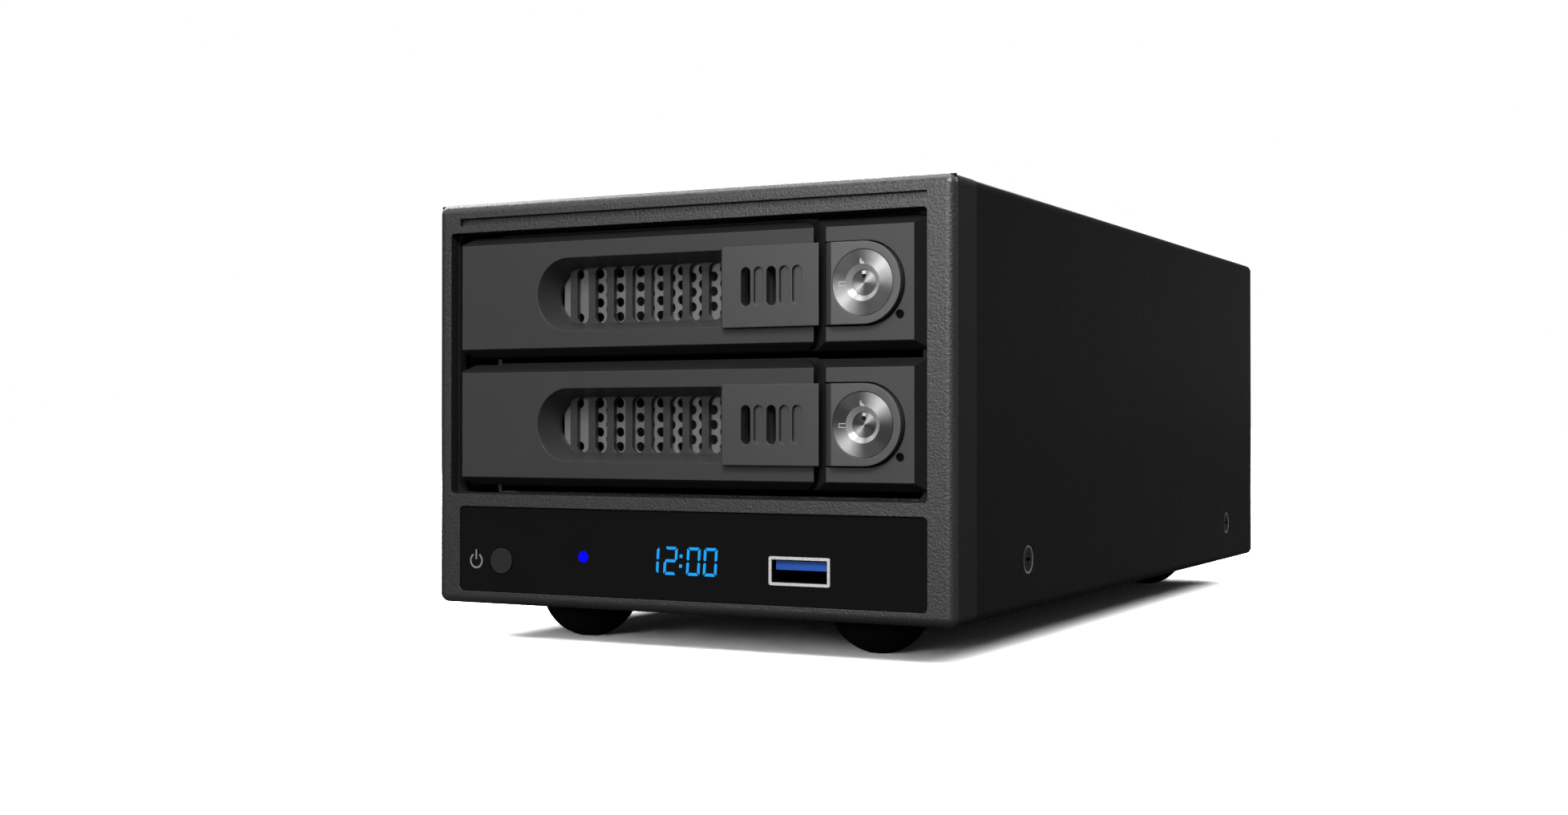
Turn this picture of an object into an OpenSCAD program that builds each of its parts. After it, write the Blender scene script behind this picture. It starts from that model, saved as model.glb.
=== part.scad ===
// Two-bay desktop network attached storage with sliding drive trays.
// X runs across the front, the front faces -Y and Z is up. The origin is on the
// floor under the middle of the unit.

/* [Case] */
// Depth of case, bezel front to cover rear
body_d = 244; // [225:1:280]
// Radius of the case's edges
edge_r = 2; // [1:0.1:2.5]
// Sheet thickness of the wrap-round cover
cover_t = 1.2; // [0.8:0.1:1.5]
// Depth of front bezel, up to the seam
bezel_d = 11.3; // [10:0.1:16]
// Wall thickness of the bezel's rear lip
lip_t = 1; // [0.8:0.1:1.5]
// Depth that the lip reaches into the cover
lip_l = 4; // [2:0.5:4.5]
// Gap at the seam between bezel and cover
seam_gap = 0.2; // [0.1:0.05:0.4]
// Width of the cover's flanges below
flange_w = 8; // [5:0.5:12]
// Number of air slots in the case floor
air_slots = 6; // [3:1:8]
// Length of air slots
air_slot_l = 40; // [20:1:50]
// Width of air slots
air_slot_w = 3; // [2:0.5:3.5]
// Spacing of air slots
air_slot_pitch = 9; // [6:0.5:12]
// Distance of first air slot from the bezel front
air_slot_y = 62; // [40:1:80]
// Sheet thickness of the chassis, cage and rear panel
sheet_t = 1; // [0.8:0.1:1.4]
// Height of chassis side walls above its floor
chassis_lip = 18; // [15:0.5:21]
// Distance of rear panel from the cover's rear edge
rear_in = 2.5; // [2.2:0.1:5]
// Gap between sheet parts that lie side by side
sheet_gap = 0.2; // [0.1:0.05:0.3]
// Gap between the bezel's lip and the cage behind it
lip_end_gap = 0.8; // [0.3:0.1:1.5]

/* [Feet and cover screws] */
// Height of rubber feet
foot_h = 8.3; // [6:0.1:10]
// Radius of the feet's dome
foot_ball_r = 11.1; // [10:0.1:14]
// Height of the dome that each foot's flat cuts off
foot_flat = 0.3; // [0.1:0.05:0.6]
// Distance of feet from the middle line
foot_x = 36.8; // [25:0.1:42]
// Distance of feet from the case's front and rear
foot_y = 22.9; // [16:0.1:40]
// Head diameter of the countersunk cover screws
cover_screw_head = 6.2; // [5:0.1:7]
// Shank diameter of the cover screws
cover_screw_d = 3; // [2.5:0.1:3.5]
// Depth of screws' heads below the cover's surface
cover_screw_in = 0.15; // [0.05:0.05:0.3]
// Width of cross recess in the cover screws
cross_w = 0.7; // [0.5:0.1:0.9]
// Length of cross recess in the cover screws
cross_l = 3; // [2:0.1:3.5]
// Depth of cross recess
cross_d = 0.8; // [0.5:0.1:0.9]
// Length of cover screws
cover_screw_len = 4.5; // [3.5:0.5:5]
// Height of cover screws above the case bottom
cover_screw_z = 11.1; // [9:0.1:14]
// Distance of front cover screws from the bezel front
cover_screw_front = 41.6; // [25:0.1:60]
// Distance of rear cover screws from the cover's rear edge
cover_screw_rear = 30.7; // [20:0.1:50]

/* [Drives] */
// Width of a 3.5 inch drive
drive_w = 101.6; // [100:0.1:102]
// Height of a 3.5 inch drive
drive_h = 26.1; // [19.5:0.1:26.2]
// Length of a 3.5 inch drive
drive_l = 147; // [140:0.5:148]
// Distance of drive from the tray's front plate
drive_back = 11; // [9:0.5:16]
// Spacing of the drive's screws along its length
drive_screw_pitch = 76.2; // [70:0.1:80]
// Distance of rear screws from the connector end
drive_screw_end = 41.3; // [35:0.1:45]
// Distance of the drive's screws from its sides
drive_screw_side = 3.2; // [2.8:0.1:3.6]
// Shank diameter of the drive screws
drive_screw_d = 3.5; // [3:0.1:3.6]
// Head diameter of the drive screws
drive_screw_head = 5.6; // [4.5:0.1:5.8]
// Length that the drive screws reach into the drive
drive_screw_l = 3; // [2:0.1:3.4]
// Depth of the drive's hollow for its board
drive_hollow = 3.5; // [3:0.1:4]
// Width of drive's solid sides along the hollow
drive_side = 9; // [7:0.5:12]
// Length of drive's solid end along the hollow
drive_nose = 6; // [4:0.5:10]
// Height of drive's lid
lid_h = 3; // [1:0.1:4]
// Border of drive's body round its lid
lid_in = 1.5; // [1:0.1:4]
// Corner radius of drive's lid
lid_r = 6; // [3:0.5:10]
// Radius of motor's hub under the drive
hub_r = 14; // [10:0.5:18]
// Distance of motor's hub from the drive's front end
hub_y = 50; // [40:1:60]
// Distance of drive's board from the motor's hub
drive_board_gap = 10; // [4:0.5:14]
// Width of the drive's connector
sata_w = 42; // [38:0.5:44]
// Height of the drive's connector
sata_h = 5.5; // [4.5:0.1:6]
// Depth of the backplane's sockets in the drive
sata_depth = 5; // [3:0.5:6]
// Distance of the connector from the drive's middle
sata_x = 20.6; // [15:0.1:24]
// Height of the connector above the drive's foot
sata_z = 2; // [1:0.1:2.5]

/* [Bay opening] */
// Bezel width left of the bay opening
bay_left = 3.65; // [3:0.05:6]
// Bezel width right of the bay opening
bay_right = 6.15; // [5:0.05:9]
// Height of bay opening's lower edge above the case bottom
bay_low = 24.6; // [24:0.05:28]
// Bezel height above the bay opening
bay_top = 6.55; // [6:0.05:10]
// Corner radius of bay opening
bay_r = 0.8; // [0.4:0.1:1.5]
// Depth of step that the tray fronts lie in
land_depth = 2.8; // [2.6:0.1:3.4]
// Thickness of bezel behind that step
land_t = 2.5; // [2:0.1:3]
// Width of the step round the inner opening
land_rim = 0.3; // [0.2:0.05:0.5]
// Gap between cage and the bay opening's left edge
cage_left = 2.4; // [2.2:0.1:4]
// Gap between cage and the bay opening's right edge
cage_right = 2; // [1:0.1:4]
// Gap between bay opening and lower tray front
tray_low_gap = 3.55; // [3:0.05:5]
// Gap between bay opening and upper tray front
tray_top_gap = 2.68; // [2.4:0.02:5]

/* [Top slot] */
// Distance of long slot from the bezel's side edges
slot_side = 6.1; // [5:0.1:12]
// Height of slot
slot_h = 1.72; // [1:0.02:2]
// Distance of slot from the bezel's top edge
slot_top = 3.3; // [3:0.1:4]
// Depth of slot
slot_depth = 1.3; // [0.8:0.1:2]

/* [Trays] */
// Thickness of tray floor
tray_floor_t = 1.1; // [0.8:0.1:1.3]
// Free height between one drive and the tray above it
stack_gap = 1.4; // [1:0.1:3]
// Thickness of tray's side rails
rail_t = 4.6; // [4:0.1:6]
// Height of tray's side rails
rail_h = 14.4; // [12:0.1:16]
// Gap between drive and side rail
drive_gap = 0.3; // [0.2:0.05:0.5]
// Gap between tray and cage on each side
slide_gap = 0.45; // [0.3:0.05:0.8]
// Height of cage's runner ledges
ledge_h = 2.4; // [1.6:0.1:3]
// Depth that the ledges reach into the rail grooves
ledge_reach = 1.9; // [1.2:0.1:2.2]
// Clearance round the ledges in the grooves
ledge_gap = 0.3; // [0.2:0.05:0.4]
// Height of runner ledges above the tray's underside
ledge_low = 5.7; // [5:0.1:8]
// Thickness of tray's front plate
nose_t = 2.2; // [1.6:0.1:3]
// Rail length past the screw nearest the connector
rail_tail = 28; // [20:1:32]
// Border of tray floor round its large window
tray_border = 13; // [10:0.5:20]
// Thickness of ribs behind the tray's front plate
rib_t = 1.4; // [1:0.1:2]
// Distance of left rib from the front plate's left edge
rib_in = 6; // [4:0.5:8]

/* [Tray fronts] */
// Height gap between the two tray fronts
face_gap = 4.6; // [4:0.1:6]
// Depth of tray fronts behind the bezel front
face_in = 0.3; // [0.2:0.05:0.4]
// Depth of bevels round the tray fronts
bevel_d = 2.4; // [2:0.1:2.5]
// Height of bevels above and below the tray fronts
bevel_h = 1.5; // [1:0.1:1.7]
// Width of small chamfer on the front edges
edge_cut = 0.35; // [0.2:0.05:0.5]
// Gap between bay opening and the lever's left edge
lever_gap_left = 2.6; // [2.3:0.05:3.2]
// Gap between bay opening and the lock block's right edge
lock_gap_right = 2.5; // [2.3:0.05:4]
// Width of lock block's front face
lock_w = 20.2; // [19:0.1:22]
// Gap between lever and lock block
lever_gap = 2.1; // [1.5:0.1:3]
// Slant of the gap between lever and lock block
slant = 3; // [2.4:0.1:3.4]
// Slant of the lever's left end, sideways
slant_left = 2.4; // [2:0.1:2.8]
// Distance that grip plate and lock button stand out
proud = 1.5; // [1:0.1:1.8]

/* [Lever] */
// Distance of lever's pin from its left edge
pin_x = 6.8; // [6:0.1:8]
// Distance of lever's pin from the bezel front
pin_y = 5; // [4.9:0.05:5.3]
// Diameter of lever's pin
pin_d = 1.8; // [1.4:0.1:2]
// Running clearance round the pin
pin_fit = 0.05; // [0.02:0.01:0.1]
// Radius of tray's ears round the pin
ear_r = 1.8; // [1.5:0.05:1.85]
// Height of each ear
ear_h = 2.2; // [1.5:0.1:3]
// Height of lever's barrel
barrel_h = 18; // [12:0.5:19]
// Free space kept round the swinging lever
swing_gap = 0.4; // [0.3:0.05:0.6]
// Distance of finger recess from the lever's left edge
pill_x = 20.8; // [18:0.1:26]
// Distance of finger recess from the lever's right edge
pill_right = 7.3; // [6:0.1:18]
// Height of finger recess
pill_h = 16; // [14:0.1:17]
// Depth of finger recess below the lever's face
pill_d = 5.9; // [4:0.1:6.5]
// Taper of the recess wall
pill_taper = 1.85; // [1:0.05:2.4]
// Wall thickness of the recess
pill_wall = 1.2; // [0.9:0.1:1.5]
// Distance of first grille slot from the lever's edge
vent_x = 24.1; // [23:0.1:26]
// Width of grille slots in the recess floor
vent_w = 3.05; // [2:0.05:3.3]
// Spacing of grille slots
vent_pitch = 4.8; // [4.4:0.1:6]
// Distance of first holes from the lever's left edge
mesh_x = 27.4; // [26:0.1:29]
// Thickness of perforated sheet
mesh_t = 0.6; // [0.5:0.1:1]
// Hole diameter of the perforated sheet
mesh_hole = 2.1; // [1.4:0.1:2.3]
// Hole spacing of the perforated sheet, upwards
mesh_rise = 3.2; // [2.8:0.1:3.4]
// Hole spacing of the perforated sheet, sideways
mesh_step = 2.62; // [2.4:0.02:3]
// Height of catch on the lever's back
catch_h = 6; // [4:0.5:8]
// Distance that catch reaches behind the lever
catch_l = 5.5; // [4:0.5:6]
// Thickness of catch
catch_t = 3; // [2.4:0.1:3.4]

/* [Grip plate] */
// Width of grip plate
grip_w = 23.2; // [20:0.1:24]
// Height of grip plate
grip_h = 16.8; // [15:0.1:18]
// Distance of first slot from the plate's left edge
grip_slot_x = 4.85; // [4:0.05:6]
// Width of slots in the grip plate
grip_slot_w = 2.2; // [1.5:0.05:2.4]
// Height of slots in the grip plate
grip_slot_h = 8.1; // [6:0.1:12]
// Spacing of slots in the grip plate
grip_pitch = 2.98; // [2.6:0.02:3.1]
// Number of slots in the grip plate
grip_slots = 5; // [3:1:5]
// Depth of slots that don't go through
grip_slot_d = 0.7; // [0.4:0.1:1]

/* [Lock] */
// Radius of round end of the lock button
button_r = 8.35; // [8:0.05:9]
// Distance of the button's centre from the block's edge
button_x = 9.2; // [9:0.1:10]
// Gap round the lock button
button_gap = 0.3; // [0.2:0.05:0.4]
// Overlap of button's flange behind the block's front
flange_over = 0.8; // [0.5:0.1:0.8]
// Thickness of button's flange
flange_t = 1.2; // [0.8:0.1:1.6]
// Length of button's hub behind its flange
hub_l = 3.1; // [2:0.1:4]
// Diameter of brushed lock disc
disc_d = 13.3; // [11:0.1:14]
// Thickness of lock disc
disc_t = 2.4; // [1.5:0.1:3]
// Diameter of bright ring
ring_d = 7.5; // [6.5:0.1:8.5]
// Diameter of key plug
plug_d = 5.2; // [4:0.1:5.8]
// Depth of plug below the disc
plug_in = 0.8; // [0.4:0.1:1]
// Reach of cam at the plug's inner end
cam_l = 6.5; // [4:0.1:7]
// Thickness of cam
cam_t = 1.4; // [1:0.1:1.8]
// Width of cam
cam_w = 3.2; // [2:0.1:4]
// Running clearance round the plug
plug_fit = 0.05; // [0.02:0.01:0.1]
// Diameter of small lamp hole in the lock block
lamp_d = 1.8; // [1:0.1:2]
// Distance of lamp hole right of the button's centre
lamp_x = 7.5; // [7.2:0.1:9]
// Distance of lamp hole below the button's centre
lamp_z = 6.5; // [6.2:0.1:9]
// Depth of lock block
block_d = 15.5; // [14.5:0.1:18]
// Wall thickness of the lock block
block_wall = 1.6; // [1.2:0.1:2]
// Thickness of lock block's front
block_front = 4; // [3.2:0.1:5]

/* [Control panel] */
// Distance of gloss panel from the bezel's side edges
panel_side = 6.25; // [5:0.05:12]
// Height of panel's lower edge above the case bottom
panel_low = 2.95; // [2.5:0.05:3.5]
// Height of gloss panel
panel_h = 18.8; // [18:0.1:20]
// Corner radius of gloss panel
panel_r = 0.95; // [0.5:0.05:2]
// Depth of panel's face behind the bezel front
panel_in = 0.35; // [0.1:0.05:0.6]
// Thickness of panel
panel_t = 2; // [1.5:0.1:2.5]
// Gap round the panel in its pocket
panel_gap = 0.12; // [0.05:0.01:0.25]
// Rim width of the bezel behind the panel
panel_rim = 2; // [1:0.1:2.2]
// Height of power button's centre above the case bottom
power_z = 9.85; // [9:0.05:11]
// Distance of power button from the panel's left edge
power_x = 11.25; // [9:0.05:14]
// Diameter of power button
power_d = 5.7; // [4:0.1:6.5]
// Distance that power button and USB rim stand out of the panel
panel_out = 0.25; // [0.1:0.05:0.5]
// Width of the flanges behind the panel
panel_flange = 0.8; // [0.5:0.1:1]
// Diameter of power button's stem
power_stem_d = 2.4; // [2:0.1:3]
// Travel of power button
power_travel = 0.6; // [0.3:0.1:0.8]
// Gap round the power button
power_gap = 0.15; // [0.1:0.01:0.25]
// Distance of lamp from the panel's left edge
led_x = 32.85; // [28:0.05:36]
// Height of lamp above the case bottom
led_z = 11.4; // [9:0.05:13]
// Diameter of lamp
led_d = 2.45; // [1.8:0.05:3]
// Height of display's middle above the case bottom
display_z = 11.1; // [10:0.1:12]
// Distance of display's middle from the panel's left edge
display_x = 59.1; // [54:0.1:62]
// Width of display unit
display_w = 22; // [18:0.5:24]
// Height of display unit
display_h = 9; // [8:0.5:11]
// Distance of USB socket's middle from the panel's left edge
usb_x = 85.65; // [82:0.05:90]
// Height of USB socket's middle above the case bottom
usb_z = 10.05; // [9:0.05:11]
// Width of USB socket's rim
usb_w = 14; // [13.5:0.1:14.5]
// Height of USB socket's rim
usb_h = 5.95; // [5.7:0.05:6.2]
// Wall of USB socket's shell
usb_wall = 0.4; // [0.3:0.05:0.5]
// Width of socket's rim round its shell
usb_rim = 0.2; // [0.1:0.05:0.3]
// Depth of socket's rim
usb_rim_t = 0.8; // [0.5:0.1:1.2]
// Thickness of contact tongue
tongue_t = 1.9; // [1.6:0.1:2]
// Gap between the tongue and the shell's sides
tongue_side = 0.6; // [0.3:0.1:1]
// Distance of left boss from the panel's left edge
boss_x = 22; // [20:0.5:25]
// Distance between the two bosses
boss_span = 52; // [50:0.5:53]
// Diameter of bosses that carry the front board
boss_d = 4.8; // [4:0.1:5.5]
// Width of switch behind the power button
switch_w = 6; // [5:0.1:6.5]
// Height of switch on its board
switch_h = 3.2; // [2.5:0.1:3.5]
// Distance from the bezel front to the front board
front_board_y = 12; // [11:0.1:14]
// Thickness of circuit boards
board_t = 1.6; // [1.2:0.1:2]

/* [Boards and sockets] */
// Distance of main board from the chassis floor
standoff_h = 5; // [4:0.5:6]
// Diameter of board standoffs
standoff_d = 5; // [4:0.1:6]
// Distance of standoffs from the board's sides
standoff_side = 6; // [5:0.5:8]
// Distance of front standoffs from the board's front edge
standoff_front = 6; // [5:0.5:12]
// Distance of rear standoffs from the board's rear edge
standoff_rear = 26; // [22:1:36]
// Diameter of board screws
board_screw_d = 2.5; // [2:0.1:3]
// Length of main board
main_l = 122; // [100:1:150]
// Distance of main board from the case's sides
main_side = 13.25; // [12.5:0.25:16]
// Distance of main board from the rear panel
main_back = 1.5; // [1:0.1:2.5]
// Width of largest chip
chip_w = 24; // [18:1:30]
// Distance of largest chip from the board's front edge
chip_y = 20; // [12:1:30]
// Height of chips
chip_h = 1.8; // [1.2:0.1:2.4]
// Width of memory chips
memory_w = 12; // [8:0.5:14]
// Length of memory chips
memory_l = 9; // [6:0.5:11]
// Diameter of capacitors
cap_d = 8; // [6:0.5:10]
// Height of capacitors
cap_h = 9; // [6:0.5:12]
// Distance of the other parts from the largest chip
part_gap = 10; // [8:0.5:12]
// Spacing of capacitors and the memory chips
part_pitch = 13; // [12:0.5:15]
// Height of heat sink's base
sink_t = 2; // [1:0.1:3]
// Height of heat sink's fins
fin_h = 7; // [4:0.5:9]
// Thickness of heat sink's fins
fin_t = 1.2; // [0.8:0.1:1.6]
// Number of fins on the heat sink
fins = 7; // [4:1:9]
// Width of network socket
lan_w = 16; // [15:0.1:17]
// Height of network socket
lan_h = 13.2; // [12:0.1:14]
// Length of network socket
lan_l = 18; // [16:0.5:22]
// Wall of the network and backplane sockets
socket_wall = 1.5; // [1:0.1:1.6]
// Distance of network socket's middle from the board's edge
lan_in = 14; // [12:0.5:16]
// Free width between the sockets
socket_space = 7; // [5:0.1:8]
// Width of rear USB socket
rear_usb_w = 14; // [13.4:0.1:14.5]
// Height of rear USB socket
rear_usb_h = 7.2; // [6.8:0.1:7.5]
// Length of rear USB socket
rear_usb_l = 14; // [12:0.5:18]
// Width of video socket
video_w = 15; // [14.8:0.1:16]
// Height of video socket
video_h = 6; // [5.8:0.1:6.5]
// Length of video socket
video_l = 12; // [10:0.5:14]
// Wall of rear USB and video sockets
shell_t = 0.6; // [0.4:0.1:0.7]
// Width of power inlet
inlet_w = 9; // [8.5:0.1:10]
// Height of power inlet
inlet_h = 11; // [10:0.1:12]
// Length of power inlet
inlet_l = 13; // [12:0.5:15]
// Diameter of power inlet's bore
inlet_bore_d = 6.2; // [5.5:0.1:6.5]
// Diameter of power inlet's pin
inlet_pin_d = 2; // [1.6:0.1:2.5]
// Height of bore's middle above the board
inlet_z = 6; // [5:0.1:6.5]
// Distance of power inlet's middle from the board's edge
inlet_in = 12; // [10:0.5:16]
// Gap between the sockets and the rear panel's openings
socket_gap = 0.3; // [0.1:0.05:0.4]
// Distance that sockets stand out of the rear panel
socket_out = 0.2; // [0.1:0.05:0.5]
// Gap between drive and backplane board
backplane_gap = 2; // [1:0.1:4]
// Width and height of the backplane's air windows
window_w = 14; // [10:0.5:15]
// Spacing of backplane's air windows
window_pitch = 18; // [16:0.5:20]
// Number of slots along each side of the cage
cage_slots = 3; // [1:1:3]
// Length of slots in the cage's sides
cage_slot_l = 18; // [10:1:25]
// Height of slots in the cage's sides
cage_slot_h = 4; // [3:0.5:5]
// Spacing of slots in the cage's sides
cage_slot_pitch = 40; // [28:1:45]
// Length of cage behind the backplane board
cage_tail = 4; // [2:0.5:8]

/* [Fan and rear panel] */
// Size of the square fan
fan_w = 60; // [50:1:62]
// Thickness of fan
fan_t = 20; // [15:1:25]
// Height of fan's centre above the case bottom
fan_z = 55.5; // [55:0.5:56]
// Wall between the fan's bore and its edge
fan_wall = 1.5; // [1:0.1:2]
// Thickness of fan's end plates
fan_plate_t = 4; // [3:0.5:5]
// Width of the fan frame's open corners
fan_corner = 8; // [7:0.5:8.5]
// Distance of fan's screws from its edges
fan_screw_in = 5; // [4:0.1:5.5]
// Diameter of fan's hub
fan_hub_d = 26; // [20:1:30]
// Diameter of post that the fan turns on
fan_post_d = 6; // [4:0.5:8]
// Running clearance between post and hub
fan_fit = 0.1; // [0.05:0.01:0.2]
// Thickness and width of the fan's struts
fan_strut = 3; // [2:0.1:3.5]
// Gap between the fan's blades and its frame
fan_gap = 0.8; // [0.5:0.1:1.5]
// Number of fan blades
fan_blades = 7; // [5:1:9]
// Thickness of fan blades
blade_t = 1.2; // [0.8:0.1:1.6]
// Pitch angle of the fan blades
fan_pitch = 38; // [25:1:50]
// Diameter of fan screws
fan_screw_d = 4; // [3:0.1:4.4]
// Length that the fan screws reach into the fan
fan_screw_l = 3.8; // [3:0.1:6]
// Width of fan screws' heads round their shanks
fan_screw_rim = 1; // [0.6:0.1:1.5]
// Wire width of the fan guard
guard_wire = 1.4; // [1:0.1:1.8]
// Spacing of fan guard's rings
guard_pitch = 5; // [4:0.1:5]
// Radius of disc in the middle of the fan guard
guard_disc_r = 5; // [3:0.5:8]
// Length of air slots beside the fan
rear_slot_l = 14; // [8:0.5:16]
// Height of air slots beside the fan
rear_slot_h = 2; // [1.5:0.1:3]
// Spacing of air slots beside the fan
rear_slot_pitch = 5; // [4:0.5:7]
// Number of air slots on each side of the fan
rear_slots = 10; // [6:1:11]
// Distance of air slots from the case's sides
rear_slot_side = 10; // [8:0.5:12]

/* [Hidden] */
$fn = 48;
cut = 1;          // how far a cutting shape runs past the face that it opens
bite = 0.01;      // overlap of the shapes that make one solid
seat_gap = 0.2;   // between a piece's flange and the wall that it lies behind
lip_gap = 0.3;    // between the bezel's lip and the sheet parts round it
fold_r = max(edge_r - cover_t, bite);   // radius inside the cover's folds
soft_r = 2;       // corner radius of small openings and plates
hole_gap = 0.1;   // between a hole or recess and the piece in it

// Widths, from the drive outwards
tray_w = drive_w + 2 * (drive_gap + rail_t);
inner_w = tray_w + 2 * slide_gap;
bay_w = inner_w + cage_left + cage_right;
body_w = bay_w + bay_left + bay_right;
// Heights, from the drive outwards
pitch = drive_h + tray_floor_t + stack_gap;
face_h = pitch - face_gap;
bay_h = pitch + face_h + tray_low_gap + tray_top_gap;
body_h = bay_low + bay_h + bay_top;

left = -body_w / 2;
right = body_w / 2;
base = foot_h;
top = base + body_h;
front_y = -(body_d - (proud - face_in)) / 2;
bay_x0 = left + bay_left;
bay_x1 = right - bay_right;
bay_z0 = base + bay_low;
bay_z1 = bay_z0 + bay_h;
cage_x0 = bay_x0 + cage_left;
cage_x1 = bay_x1 - cage_right;
tray_x0 = cage_x0 + slide_gap;
tray_x1 = cage_x1 - slide_gap;
tray_mid = (tray_x0 + tray_x1) / 2;
lower_z = bay_z0 + tray_low_gap + face_h / 2;
bezel_front_t = land_depth + land_t;

// Tray fronts, about the tray's own middle height
face_back = face_in + bevel_d;
half_face = face_h / 2;
half_base = half_face + bevel_h;
raised_y = face_in - proud;
lock_x1 = bay_x1 - lock_gap_right;
lock_x0 = lock_x1 - lock_w;
lever_x0 = bay_x0 + lever_gap_left;
lever_x1 = lock_x0 - lever_gap;
lock_base_x1 = bay_x1 - button_gap;
block_x0 = lock_x0 - slant + button_gap;
slope = slant / bevel_d;
pivot_x = lever_x0 + pin_x;
pivot_y = pin_y;
barrel_r = ear_r;
ear_gap = 0.3;    // between the lever's barrel and each ear
swing_r = norm([pin_x, pin_y - face_in]) + swing_gap;
catch_x0 = lever_x1 - slant - catch_t - ear_gap;
catch_mouth = 1.8;   // length of the notch in the catch
pill_floor = face_in + pill_d;
floor_back = pill_floor + pill_wall;
mesh_back = floor_back + mesh_t;
pill_x0 = lever_x0 + pill_x;
pill_l = lever_x1 - pill_right - pill_x0;
pill_r = pill_h / 2;
pill_r2 = pill_r - pill_taper;
pill_c0 = pill_x0 + pill_r;
pill_c1 = pill_x0 + pill_l - pill_r;
vent_first = lever_x0 + vent_x;
vent_count = floor((pill_c1 - vent_first) / vent_pitch) + 1;
mesh_first = lever_x0 + mesh_x;
mesh_side = 3;    // sheet kept beyond the last column of holes

// Lock, about the tray's own middle height
button_x0 = lock_x0 + button_gap;
button_cx = lock_x0 + button_x;
shelf_y = face_in + block_front;
flange_y = shelf_y + seat_gap;
lamp_cx = button_cx + lamp_x;
lamp_flange_r = lamp_d / 2 + 0.4;
lamp_back = shelf_y + 1;
plug_bore = plug_d / 2 + plug_fit;
plug_end = flange_y + flange_t + hub_l + button_gap + cam_t;

// Tray body, about the tray's own middle height
tray_under = -half_base + hole_gap;
tray_floor_top = tray_under + tray_floor_t;
rail_top = tray_under + rail_h;
nose_y0 = face_back + 0.5;
nose_y1 = nose_y0 + nose_t;
nose_x0 = pivot_x + ear_r + swing_gap;
drive_y0 = nose_y1 + drive_back;
drive_y1 = drive_y0 + drive_l;
screw_y1 = drive_y1 - drive_screw_end;
screw_y0 = screw_y1 - drive_screw_pitch;
rail_y1 = screw_y1 + rail_tail;
drive_x0 = tray_mid - drive_w / 2;
drive_x1 = drive_x0 + drive_w;
drive_z0 = tray_floor_top;
hub_cy = drive_y0 + hub_y;
ledge_z0 = tray_under + ledge_low;
sata_x0 = tray_mid + sata_x - sata_w / 2;
sata_x1 = sata_x0 + sata_w;
sata_z0 = drive_z0 + sata_z;
sata_fit = 0.5;   // round the backplane's sockets and the drive's board

// Cage, chassis, backplane and rear
inner_y0 = bezel_d + lip_l + lip_end_gap;
backplane_y = drive_y1 + backplane_gap;
cage_y1 = backplane_y + board_t + cage_tail;
cage_floor = bay_z0 + sheet_gap;
cage_top = bay_z1 + 0.5;
cage_z_mid = lower_z + pitch / 2 + cut;
cage_slot_y = (drive_y0 + drive_y1 - (cage_slots - 1) * cage_slot_pitch - cage_slot_l) / 2;
chassis_z = base + cover_t + sheet_gap;
plate_top = base + sheet_t + sheet_gap;
chassis_top = chassis_z + sheet_t;
chassis_half = body_w / 2 - cover_t - sheet_gap;
pan_half = body_w / 2 - flange_w - sheet_gap;
cover_screw_ys = [cover_screw_front, body_d - cover_screw_rear];
rear_y1 = body_d - rear_in;
rear_y0 = rear_y1 - sheet_t;
board_z = plate_top + standoff_h;
board_top = board_z + board_t;
main_y1 = rear_y0 - main_back;
main_y0 = main_y1 - main_l;
main_w = body_w - 2 * main_side;
chip_y0 = main_y0 + chip_y;
standoff_xs = [-main_w / 2 + standoff_side, main_w / 2 - standoff_side];
standoff_ys = [main_y0 + standoff_front, main_y1 - standoff_rear];
lan_cx = -main_w / 2 + lan_in;
rear_usb_cx = lan_cx + lan_w / 2 + socket_space + rear_usb_w / 2;
video_cx = rear_usb_cx + rear_usb_w / 2 + socket_space + video_w / 2;
inlet_cx = main_w / 2 - inlet_in;
fan_cz = base + fan_z;
fan_y0 = rear_y0 - fan_t;
fan_bore_r = fan_w / 2 - fan_wall;
fan_hole = fan_w / 2 - fan_screw_in;
hub_cap = 4;      // thickness of the fan hub's closed end
blade_y0 = fan_y0 + fan_strut + fan_gap;
blade_y1 = rear_y0 - 2 * fan_gap;
post_y1 = blade_y1 - hub_cap;
guard_r = fan_bore_r - guard_wire;

// Control panel
panel_x0 = left + panel_side;
panel_x1 = right - panel_side;
panel_z0 = base + panel_low;
panel_z1 = panel_z0 + panel_h;
panel_back = panel_in + panel_t;
flange_front = panel_back + seat_gap;
power_cx = panel_x0 + power_x;
power_cz = base + power_z;
plunger_l = 1;    // length of the switch's plunger
switch_front = front_board_y - switch_h;
stem_y1 = switch_front - plunger_l - power_travel - hole_gap;
led_cx = panel_x0 + led_x;
led_cz = base + led_z;
display_cx = panel_x0 + display_x;
display_cz = base + display_z;
usb_cx = panel_x0 + usb_x;
usb_cz = base + usb_z;
usb_r = 0.4;      // corner radius of the socket's shell
boss_r = boss_d / 2;
boss_xs = [panel_x0 + boss_x, panel_x0 + boss_x + boss_span];
boss_z = panel_z0 + panel_rim + boss_r + lip_gap;
front_board_rim = 1.2;   // between the panel's outline and the front board's

// ---- helpers ----
// A box given by its six faces
module box(x0, x1, y0, y1, z0, z1) {
    translate([x0, y0, z0]) cube([x1 - x0, y1 - y0, z1 - z0]);
}

// Stands a flat outline up so that it runs from y0 to y1
module along_y(y0, y1) {
    translate([0, y1, 0]) rotate([90, 0, 0]) linear_extrude(y1 - y0) children();
}

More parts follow.
